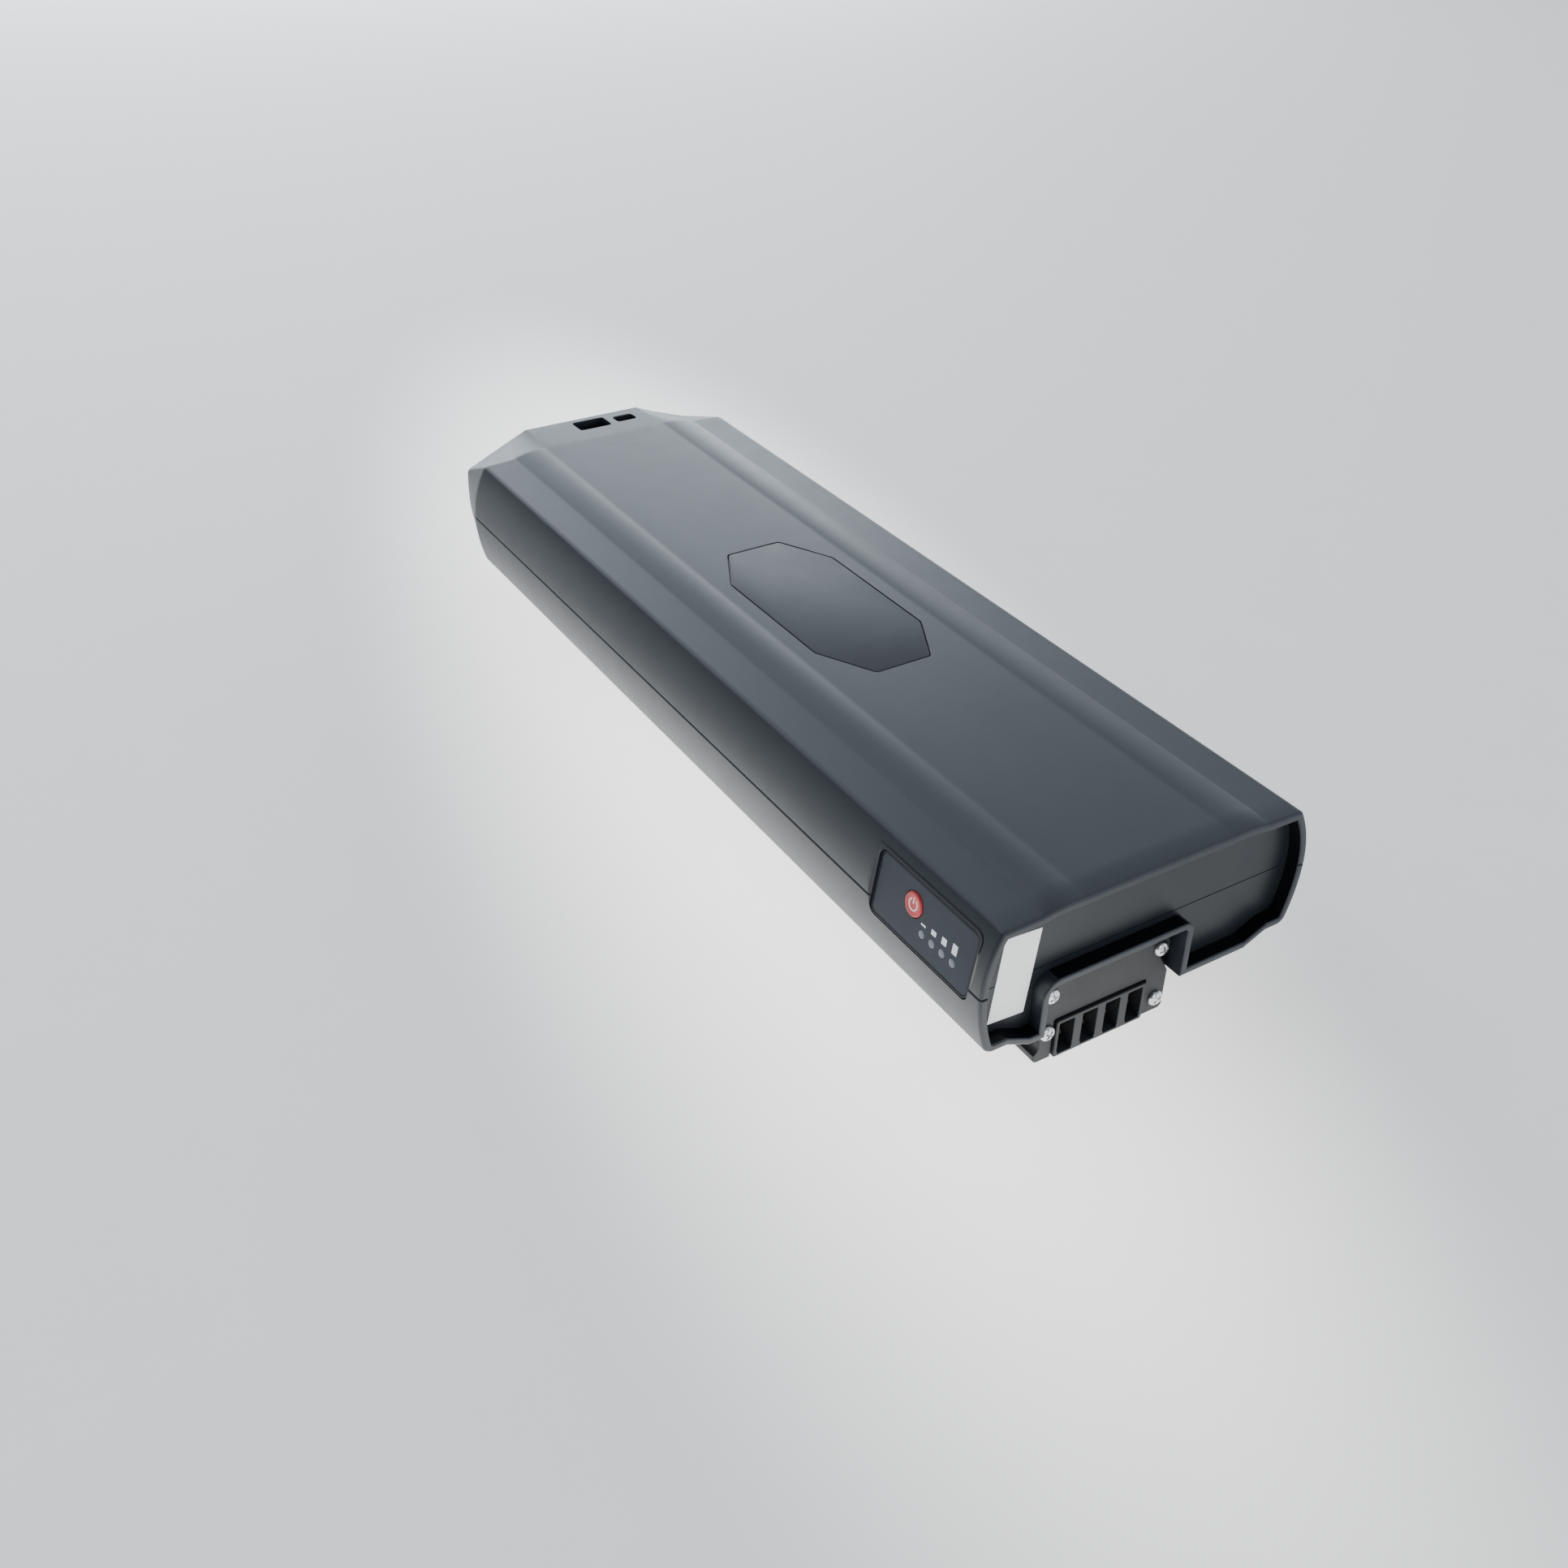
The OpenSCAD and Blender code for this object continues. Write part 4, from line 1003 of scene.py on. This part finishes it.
LEAN = math.radians(9.633)
PANEL_MID = (-62.87, -165.0, 48.34)
PANEL_OUT = (-math.cos(LEAN), 0, math.sin(LEAN))
BUTTON = ((0, 0.2), (0.9, 0.205), (1.8, 0.235), (2.5, 0.29), (3.0, 0.35), (3.35, 0.385),
          (3.6, 0.39), (3.8, 0.35), (3.95, 0.26), (4.05, 0.12), (4.1, -0.05), (4.1, -1.45),
          (4.9, -1.45), (4.9, -1.9), (1.5, -1.9), (1.5, -5.2), (0, -5.2))
LENS = ((0, -0.05), (0.7, -0.055), (1.2, -0.075), (1.38, -0.12), (1.46, -0.2), (1.5, -0.35),
        (1.5, -7.4), (0, -7.4))
# Depth and growth of the soft flare round the opening
FLARE = ((-0.35, -0.04), (-0.5, 0.02), (-0.7, 0.16), (-1.0, 0.5), (-1.35, 1.0), (-1.62, 1.7),
         (-1.8, 2.9))
LENS_HOLE_R = 1.55
BAR_HEIGHTS = (0.65, 1.7, 2.45, 3.5)


def in_panel(across: float, up: float, depth: float) -> Point3:
    """Places a point in the panel's plane.

    Args:
        across: Distance towards the rim from the panel's middle.
        up: Distance up the slope.
        depth: Distance below the panel's face.

    Returns:
        The point in the row frame.
    """
    x = PANEL_MID[0] + up * math.sin(LEAN) + depth * math.cos(LEAN)
    z = PANEL_MID[2] + up * math.cos(LEAN) - depth * math.sin(LEAN)
    return (x, PANEL_MID[1] - across, z)


def on_flank(across: float, up: float, depth: float) -> Point3:
    """Places a point below the flank's surface, seen square to the panel.

    Args:
        across: Distance towards the rim from the panel's middle.
        up: Distance up the slope.
        depth: Distance below the flank's surface, along the panel's normal.

    Returns:
        The point in the row frame.
    """
    high = 0.0
    for _ in range(6):
        x, _y, z = in_panel(across, up, -high)
        high += (x + flank_x(z)) / math.cos(LEAN)
    return in_panel(across, up, depth - high)


def pin(name: str, at: Point2, radius: float, near: float, far: float,
        steps: int = 32) -> Solid:
    """A round bar square to the panel, from one depth to another."""
    return rod(name, radius, in_panel(*at, near), in_panel(*at, far), steps)


@dataclass(frozen=True)
class PowerPanel:
    """Power panel in the left flank: tray, bezel, film, marks, button and lenses.

    Attributes:
        width: Length of the panel along the case.
        height: Height up the slope.
        gap: Gap between panel and case.
        button_at: Middle of the button.
        lens_at: Middle of the first lens.
        pitch: Distance between lenses.
    """

    width: float = 50.0
    height: float = 23.0
    gap: float = 0.35
    button_at: Point2 = (-5.9, 2.8)
    lens_at: Point2 = (0.2, -4.2)
    pitch: float = 5.1

    def lenses(self) -> list[Point2]:
        """Middle of each lens."""
        return [(self.lens_at[0] + i * self.pitch, self.lens_at[1]) for i in range(4)]

    def _slab(self, name: str, bigger: float, radius: float, near: float, far: float,
              rim: float = 0.0, steps: int = 3) -> Solid:
        """A slab of the panel's outline, made larger by a size, with a rounded rim."""
        outline = plate(self.width + bigger, self.height + bigger, radius, steps=8)
        return Solid(name).prism(outline, near, far, in_panel, rim, steps)

    def block(self) -> Solid:
        """Solid behind the opening, inside the case."""
        return Solid("tray").prism(plate(self.width + 3.2, self.height + 3.2, 4.2), 1.0, 4.6,
                                   in_panel)

    def opening(self) -> list[tuple[Carve, Solid]]:
        """The opening with its flared mouth, the holes in its floor and the lip's groove.

        Returns:
            Carving steps.
        """
        hole = plate(self.width + 2 * self.gap, self.height + 2 * self.gap, 2.95, steps=8)
        return cuts(Solid("hole").prism(hole, -2.8, 2.6, in_panel),
                    Solid("mouth").prism(dense(grow(hole, -0.04)), -0.03, 1.0, on_flank,
                                         -0.3, 4),
                    Solid("flare").loft([[in_panel(a, u, d) for a, u in grow(hole, g)]
                                         for d, g in FLARE]),
                    pin("pin", self.button_at, 1.8, 2.0, 5.5),
                    *(pin("pin", at, LENS_HOLE_R, 2.0, 5.5) for at in self.lenses()),
                    self._lip())

    def _lip(self) -> Solid:
        """Cutter of the thin groove that makes a lip over and before the panel.

        Returns:
            The cutter.
        """
        out = self.gap + 1.25
        x, y, r = self.width / 2 + out, self.height / 2 + out, 3.6
        path = [(-x + k * (2 * x - r) / 40, y) for k in range(40)]
        path += arc((x - r, y - r), r, 90, 0, 8)
        path += [(x, y - r - k * 0.8) for k in range(1, 4)]
        rings = []
        for i, (a, u) in enumerate(path):
            (pa, pu), (na, nu) = path[max(i - 1, 0)], path[min(i + 1, len(path) - 1)]
            side = Vector((-(nu - pu), na - pa)).normalized() * 0.3
            deep = 0.5 * min(1.0, (i + 0.4) / 3, (len(path) - i - 0.6) / 3)
            rings.append([on_flank(a + s * side.x, u + s * side.y, depth) for s, depth in
                          ((-1, -0.6), (1, -0.6), (1, deep * 0.6), (0.3, deep),
                           (-0.3, deep), (-1, deep * 0.6))])
        return Solid("lip_groove").loft(rings)

    def build(self) -> None:
        """Makes every visible piece of the panel."""
        lenses = self.lenses()
        self._slab("panel_bezel_skin", 0.0, 2.6, 0.0, 2.6, 0.35, 4).piece("bezel_plastic", cuts(
            self._slab("seat", -1.2, 2.0, -0.3, 0.5),
            pin("guide", self.button_at, 4.13, -1, 3, 48),
            pin("flange", self.button_at, 5.2, 1.4, 3, 48),
            *(pin("pipe", at, LENS_HOLE_R, -1, 3) for at in lenses)))
        ring = Solid("ring").prism(arc(self.button_at, 4.4, 0, 352.5, 47), 0.08, 0.6, in_panel,
                                   -0.12, 2)
        self._slab("panel_membrane_skin", -1.55, 2.0, 0.1, 0.5, 0.1, 2).piece(
            "membrane_film",
            cuts(ring, *(pin("pipe", at, LENS_HOLE_R, -1, 1) for at in lenses)))
        bars = Solid("panel_marks")
        for (x, _y), high in zip(lenses, BAR_HEIGHTS):
            bars.prism(plate(2.3, high, 0.12, (x, -1.2 + high / 2), 2), 0.075, 0.2, in_panel)
        bars.piece("membrane_film", finish=INK_WITH_PAINTED_GLOW)
        self._button()
        for i, at in enumerate(lenses):
            Solid(f"lens_{i + 1}_skin").turned(
                LENS, upright(in_panel(*at, 0), PANEL_OUT), 32).piece("lens_clear")

    def _button(self) -> None:
        """Button with a dished face, and the power mark on it."""
        x, y = self.button_at
        Solid("power_button_skin").turned(
            BUTTON, upright(in_panel(x, y, 0), PANEL_OUT), 64).piece("button_plastic",
                                                                     body=Body.BUTTON)
        outer, inner = (arc(self.button_at, r, 120, 420, 48) for r in (2.2, 1.72))
        mark = Solid("power_mark").loft([
            [in_panel(*o, -0.1), in_panel(*o, -0.3), in_panel(*i, -0.26), in_panel(*i, -0.1)]
            for o, i in zip(outer, inner)])
        mark.prism(plate(0.48, 2.1, 0.1, (x, y + 1.35), 2), -0.3, -0.1, in_panel)
        mark.piece("button_plastic", body=Body.BUTTON, finish=INK_WITH_PAINTED_GLOW)


# The connector


@dataclass(frozen=True)
class ConnectorBay:
    """The bay in the end wall with its plate, socket block and screws.

    Attributes:
        left: Left face of the holder.
        right: Right face of the holder.
        top: Top of the holder.
        gap: Gap between bay and holder.
        back: Back of the bay.
        face: Front face of the plate.
        thick: Thickness of the plate.
        wall: Thickness of the bay's walls.
        key_at: X and Z of the key groove.
        key_r: Its radius.
        window: Left, right, top and corner rounding of the plate's window.
        lead_y: Where the leads leave the holder.
        lead_hole: Radius, foot and top of each lead's hole.
        block_mid: Middle of the socket block.
        block_size: Its width and height.
        block_y: Its front and its back.
        slots: Middle of each contact slot across.
        slot_z: Height of their middle.
        slot_size: Their width and height.
        slot_floor: Their far end.
        screws: X, Z and turn of each plate screw.
    """

    left: float = -37.2
    right: float = 15.9
    top: float = 34.2
    gap: float = 0.9
    back: float = -171.0
    face: float = -192.0
    thick: float = 2.0
    wall: float = 2.4
    key_at: Point2 = (-39.25, 6.98)
    key_r: float = 4.2
    window: tuple[float, ...] = (-30.25, 7.05, 15.5, 0.7)
    lead_y: float = -174.6
    lead_hole: Point3 = (2.0, 34.0, 40.0)
    block_mid: Point2 = (-11.6, 7.45)
    block_size: Point2 = (36.1, 14.9)
    block_y: Point2 = (-192.9, -176.9)
    slots: tuple[float, ...] = (-25.475, -16.225, -6.975, 2.275)
    slot_z: float = 7.75
    slot_size: Point2 = (5.9, 11.6)
    slot_floor: float = -179.9
    screws: tuple[Point3, ...] = ((-33.1, 26.7, 20.0), (-33.1, 11.6, 55.0), (10.9, 26.7, 8.0),
                                  (11.8, 5.8, 35.0))

    def _bay(self, grow_by: float, floor: float) -> list[Point2]:
        """Outline of the bay.

        Args:
            grow_by: How far it is grown.
            floor: Height of its lower edge.

        Returns:
            The outline in X and Z, anticlockwise.
        """
        x0, x1 = self.left - self.gap - grow_by, self.right + self.gap + grow_by
        high = self.top + self.gap + grow_by
        return fillet([(x0, floor, 0), (x1, floor, 0), (x1, high, 1.5 + grow_by),
                       (x0, high, 4.0 + grow_by)], 10)

    def carving(self) -> list[tuple[Carve, Solid]]:
        """Walls of the bay and the space inside them.

        Returns:
            Carving steps for the lower shell.
        """
        walls = Solid("walls").prism(self._bay(self.wall, Z_FLAT + 0.3), Y_RIM + OVER,
                                     self.back + self.wall, flat_xz, 0.6, 4)
        return [(Carve.ADD, walls)] + cuts(
            Solid("bay").prism(self._bay(0.0, -1.0), Y_RIM + 0.03, self.back, flat_xz, -0.6, 4),
            Solid("front").prism(self._bay(0.6, -1.0), Y_RIM - 2.0, Y_RIM + 0.032, flat_xz),
            *(post("lead_hole", self.lead_hole, (x, self.lead_y)) for x in self.slots))

    def _plate_outline(self) -> list[Point2]:
        """Front outline of the connector plate with its ear, anticlockwise."""
        ear = (self.right - 5.0, 26.7)
        return (arc((self.left + 2, 2), 2, 180, 270, 8) + arc((self.right - 2, 2), 2, 270, 360, 8)
                + [(self.right, Z_FLAT)] + arc(ear, 4.3, -75, 60, 16)
                + arc((ear[0] - 4, self.top - 4), 4, 20, 90, 8)
                + arc((self.left + 4, self.top - 4), 4, 90, 180, 10))

    def build(self) -> None:
        """Makes plate, block and screws."""
        face, (x0, x1, high, r), (key_x, key_z) = self.face, self.window, self.key_at
        window = fillet([(x0, -1, 0), (x1, -1, 0), (x1, high, r), (x0, high, r)], 4)
        body = Solid("connector_plate_skin").prism(self._plate_outline(), face,
                                                   face + self.thick, flat_xz, 0.5, 4)
        body.piece("connector_plastic", cuts(
            rod("key", self.key_r, (key_x, face - 3, key_z), (key_x, face + 32, key_z), 48),
            Solid("window").prism(window, face - 0.02, face + 3, flat_xz, -0.35),
            *(rod("hole", 1.55, (x, face - 1, z), (x, face + 3, z)) for x, z, _ in self.screws)))
        self._block()
        PanHeads("plate_screws", [(x, face, z) for x, z, _ in self.screws], (0, -1, 0), 11.0,
                 [turn for _, _, turn in self.screws]).build()

    def _block(self) -> None:
        """Socket block with four tall slots whose mouths are flared and ramped."""
        (front, back), tools = self.block_y, []
        for x in self.slots:
            mouth = plate(*self.slot_size, 0.35, (x, self.slot_z), 3)
            tools += [Solid("slot").prism(mouth, front - 0.03, self.slot_floor, flat_xz, -0.35),
                      Solid("ramp").loft([[(x + side, y, z) for y, z in
                                           ((-193.2, 0.95), (-193.2, 4.0), (-188.4, 4.0),
                                            (-188.4, 1.96))] for side in (-2.75, 2.75)])]
        Solid("slot_block_skin").prism(plate(*self.block_size, 0.8, self.block_mid, 4), front,
                                       back, flat_xz, 0.4, 4).piece("block_plastic",
                                                                    cuts(*tools))


# Parts that keep their CAD shape


@dataclass(frozen=True)
class InnerParts:
    """Parts that keep their CAD shape and get a finish and softened edges.

    Attributes:
        rims: Width of the softened edges, by the start of the node's name.
        sharp: Angle in degrees above which an edge is softened.
    """

    rims: tuple[tuple[str, float], ...] = (
        ("slide_rail", 0.5), ("cell_frames", 0.3), ("bms_heatsink", 0.25), ("bms_switches", 0.2),
        ("bms_terminals", 0.3), ("terminal", 0.12), ("foam", 0.6), ("switch_body", 0.15))
    sharp: float = 40.0

    def build(self) -> None:
        """Dresses every CAD part that is still shown."""
        slots = {s["node"]: s["material_slot"] for s in frame["record"]["subparts"]}
        for node, piece in frame["nodes"].items():
            piece.data.materials.clear()
            piece.data.materials.append(FINISHES[slots[node]].build())
            smooth(piece, SHARP)
            width = next((w for start, w in self.rims if node.startswith(start)), 0.0)
            if width:
                rim = piece.modifiers.new("rim", "BEVEL")
                rim.width = width * MM
                rim.segments = 2
                rim.limit_method = "ANGLE"
                rim.angle_limit = math.radians(self.sharp)
                rim.harden_normals = True
            log.info("%s: %s", node, slots[node])


# The studio

WHITE, BLUISH, SKY_TINT = (1.0, 1.0, 1.0), (0.82, 0.91, 1.0), (0.84, 0.92, 1.0)
SENSOR = 36.0


@dataclass(frozen=True)
class SoftBox:
    """A rectangular lamp that faces the battery.

    Attributes:
        name: Name of the lamp.
        at: Place, in metres.
        size: Width and height in metres.
        power: Watts.
        tint: Colour of the light.
    """

    name: str
    at: Point3
    size: Point2
    power: float
    tint: Point3 = BLUISH

    def build(self) -> None:
        """Puts up the lamp."""
        lamp = bpy.data.lights.new(self.name, "AREA")
        lamp.shape = "RECTANGLE"
        lamp.size, lamp.size_y = self.size
        lamp.energy = self.power
        lamp.color = self.tint
        made = bpy.data.objects.new(self.name, lamp)
        made.location = self.at
        way = Vector((0.0, 0.0, 0.03)) - Vector(self.at)
        made.rotation_euler = way.to_track_quat("-Z", "Y").to_euler()
        bpy.context.scene.collection.objects.link(made)


@dataclass(frozen=True)
class Studio:
    """Pale floor with a painted pool of light, soft boxes and the camera.

    Attributes:
        eye: Place of the camera, in millimetres.
        right: Direction of the picture's right edge.
        down: Direction of the picture's lower edge.
        ahead: Direction of view.
        focal: Focal length in pixels of a 1932-pixel picture.
        centre: Middle of the lens in that picture.
        picture: Width of that picture.
        sky: Strength of the surroundings.
        heights: Light of the surroundings by the height of the view's direction.
        sides: The same by its X, counted from 0 on the left to 1 on the right.
        boxes: The lamps.
        floor: Width of the floor, in millimetres.
        floor_thick: Its thickness.
        pool_at: Middle of the painted pool of light on the floor, in metres.
        pool_reach: How far it reaches across and along, in metres.
        pool_turn: Its turn in degrees.
        painted_pool_glow: The floor's painted glow far from the pool and in it.
    """

    eye: Point3 = (-306.388, -473.907, 365.887)
    right: Point3 = (0.8497185, -0.5269233, 0.0181761)
    down: Point3 = (-0.2796324, -0.4796263, -0.8317237)
    ahead: Point3 = (0.4469723, 0.7016483, -0.5548922)
    focal: float = 2070.78
    centre: Point2 = (979.26, 939.4)
    picture: float = 1932.0
    sky: float = 2.9
    heights: tuple[Point2, ...] = ((0.0, 0.95), (0.18, 0.82), (0.34, 0.68), (0.42, 0.54),
                                   (0.5, 0.26), (0.58, 0.22), (0.72, 0.54), (1.0, 0.54))
    sides: tuple[Point2, ...] = ((0.12, 0.06), (0.35, 0.1), (0.52, 0.4), (0.7, 0.38),
                                 (0.79, 1.0), (0.84, 1.0), (0.88, 0.5))
    boxes: tuple[SoftBox, ...] = (
        SoftBox("front", (-0.5, -1.9, 0.9), (1.2, 1.2), 9.0, WHITE),
        SoftBox("back", (0.55, 2.15, 0.5), (2.0, 0.9), 32.0),
        SoftBox("top", (-0.48, 0.88, 1.25), (1.7, 1.7), 12.0))
    floor: float = 16000.0
    floor_thick: float = 20.0
    pool_at: Point2 = (-0.005, 0.04)
    pool_reach: Point2 = (0.19, 0.66)
    pool_turn: float = -12.0
    painted_pool_glow: Point2 = (0.42, 2.7)

    def build(self) -> None:
        """Sets up everything."""
        self._floor()
        self._sky()
        for box in self.boxes:
            box.build()
        self._camera()

    def _floor(self) -> bpy.types.Object:
        """Wide pale floor that glows in a painted pool of light round the battery.

        Returns:
            The floor.
        """
        paper = FLOOR.build()
        tree = paper.node_tree
        shader = next(n for n in tree.nodes if n.type == "BSDF_PRINCIPLED")
        spot = add_node(tree, "Mapping", {
            "Vector": add_node(tree, "TexCoord").outputs["Object"],
            "Location": (*self.pool_at, 0.0), "Scale": (*self.pool_reach, 1.0),
            "Rotation": (0.0, 0.0, math.radians(self.pool_turn))}, vector_type="TEXTURE")
        fall = add_node(tree, "TexGradient", {"Vector": spot.outputs["Vector"]},
                        gradient_type="SPHERICAL")
        level = spread(tree, fall.outputs["Fac"], POOL_SPAN, *self.painted_pool_glow, "SMOOTHSTEP")
        # The glow's strength follows the pool: a painted pool of light on the floor
        tree.links.new(level, shader.inputs["Emission Strength"])
        return Solid("floor").prism(plate(self.floor, self.floor, 0, steps=1), 0.0,
                                    self.floor_thick, flat_xy).object(paper)

    def _sky(self) -> None:
        """Soft, faintly blue surroundings, darker on the left."""
        world = bpy.data.worlds.new("surroundings")
        bpy.context.scene.world = world
        world.use_nodes = True
        tree = world.node_tree
        tree.nodes.clear()
        view = add_node(tree, "SeparateXYZ",
                        {"Vector": add_node(tree, "TexCoord").outputs["Generated"]})
        shift = spread(tree, view.outputs["X"], (-1.0, 1.0), 0.0, 1.0)
        up = ramp(tree, view.outputs["Z"],
                  [(at, [c * level for c in SKY_TINT]) for at, level in self.heights])
        across = ramp(tree, shift, [(at, [level] * 3) for at, level in self.sides])
        both = add_node(tree, "Mix", {"Factor": 1.0, "A": up, "B": across}, data_type="RGBA",
                        blend_type="MULTIPLY")
        back = add_node(tree, "Background", {"Color": both.outputs["Result"],
                                             "Strength": self.sky})
        add_node(tree, "OutputWorld", {"Surface": back.outputs["Background"]})

    def _camera(self) -> None:
        """Camera at the photograph's place."""
        lens = bpy.data.cameras.new("camera")
        lens.sensor_width = SENSOR
        lens.lens = self.focal / self.picture * SENSOR
        lens.shift_x = (self.picture / 2 - self.centre[0]) / self.picture
        lens.shift_y = (self.centre[1] - self.picture / 2) / self.picture
        lens.clip_start = 0.01
        lens.clip_end = 50.0
        made = bpy.data.objects.new("camera", lens)
        x, y, z = Vector(self.right), -Vector(self.down), -Vector(self.ahead)
        turn = Matrix((x, y, z)).transposed().to_4x4()
        made.matrix_world = Matrix.Translation(Vector(self.eye) * MM) @ turn
        bpy.context.scene.collection.objects.link(made)
        bpy.context.scene.camera = made


def main() -> None:
    """Builds the whole scene."""
    logging.basicConfig(level=logging.INFO, format="%(message)s")
    for maker in (CaseShells(), Badge(), PowerPanel(), ConnectorBay(), InnerParts(), Studio()):
        maker.build()
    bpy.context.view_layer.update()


if __name__ == "__main__":
    main()
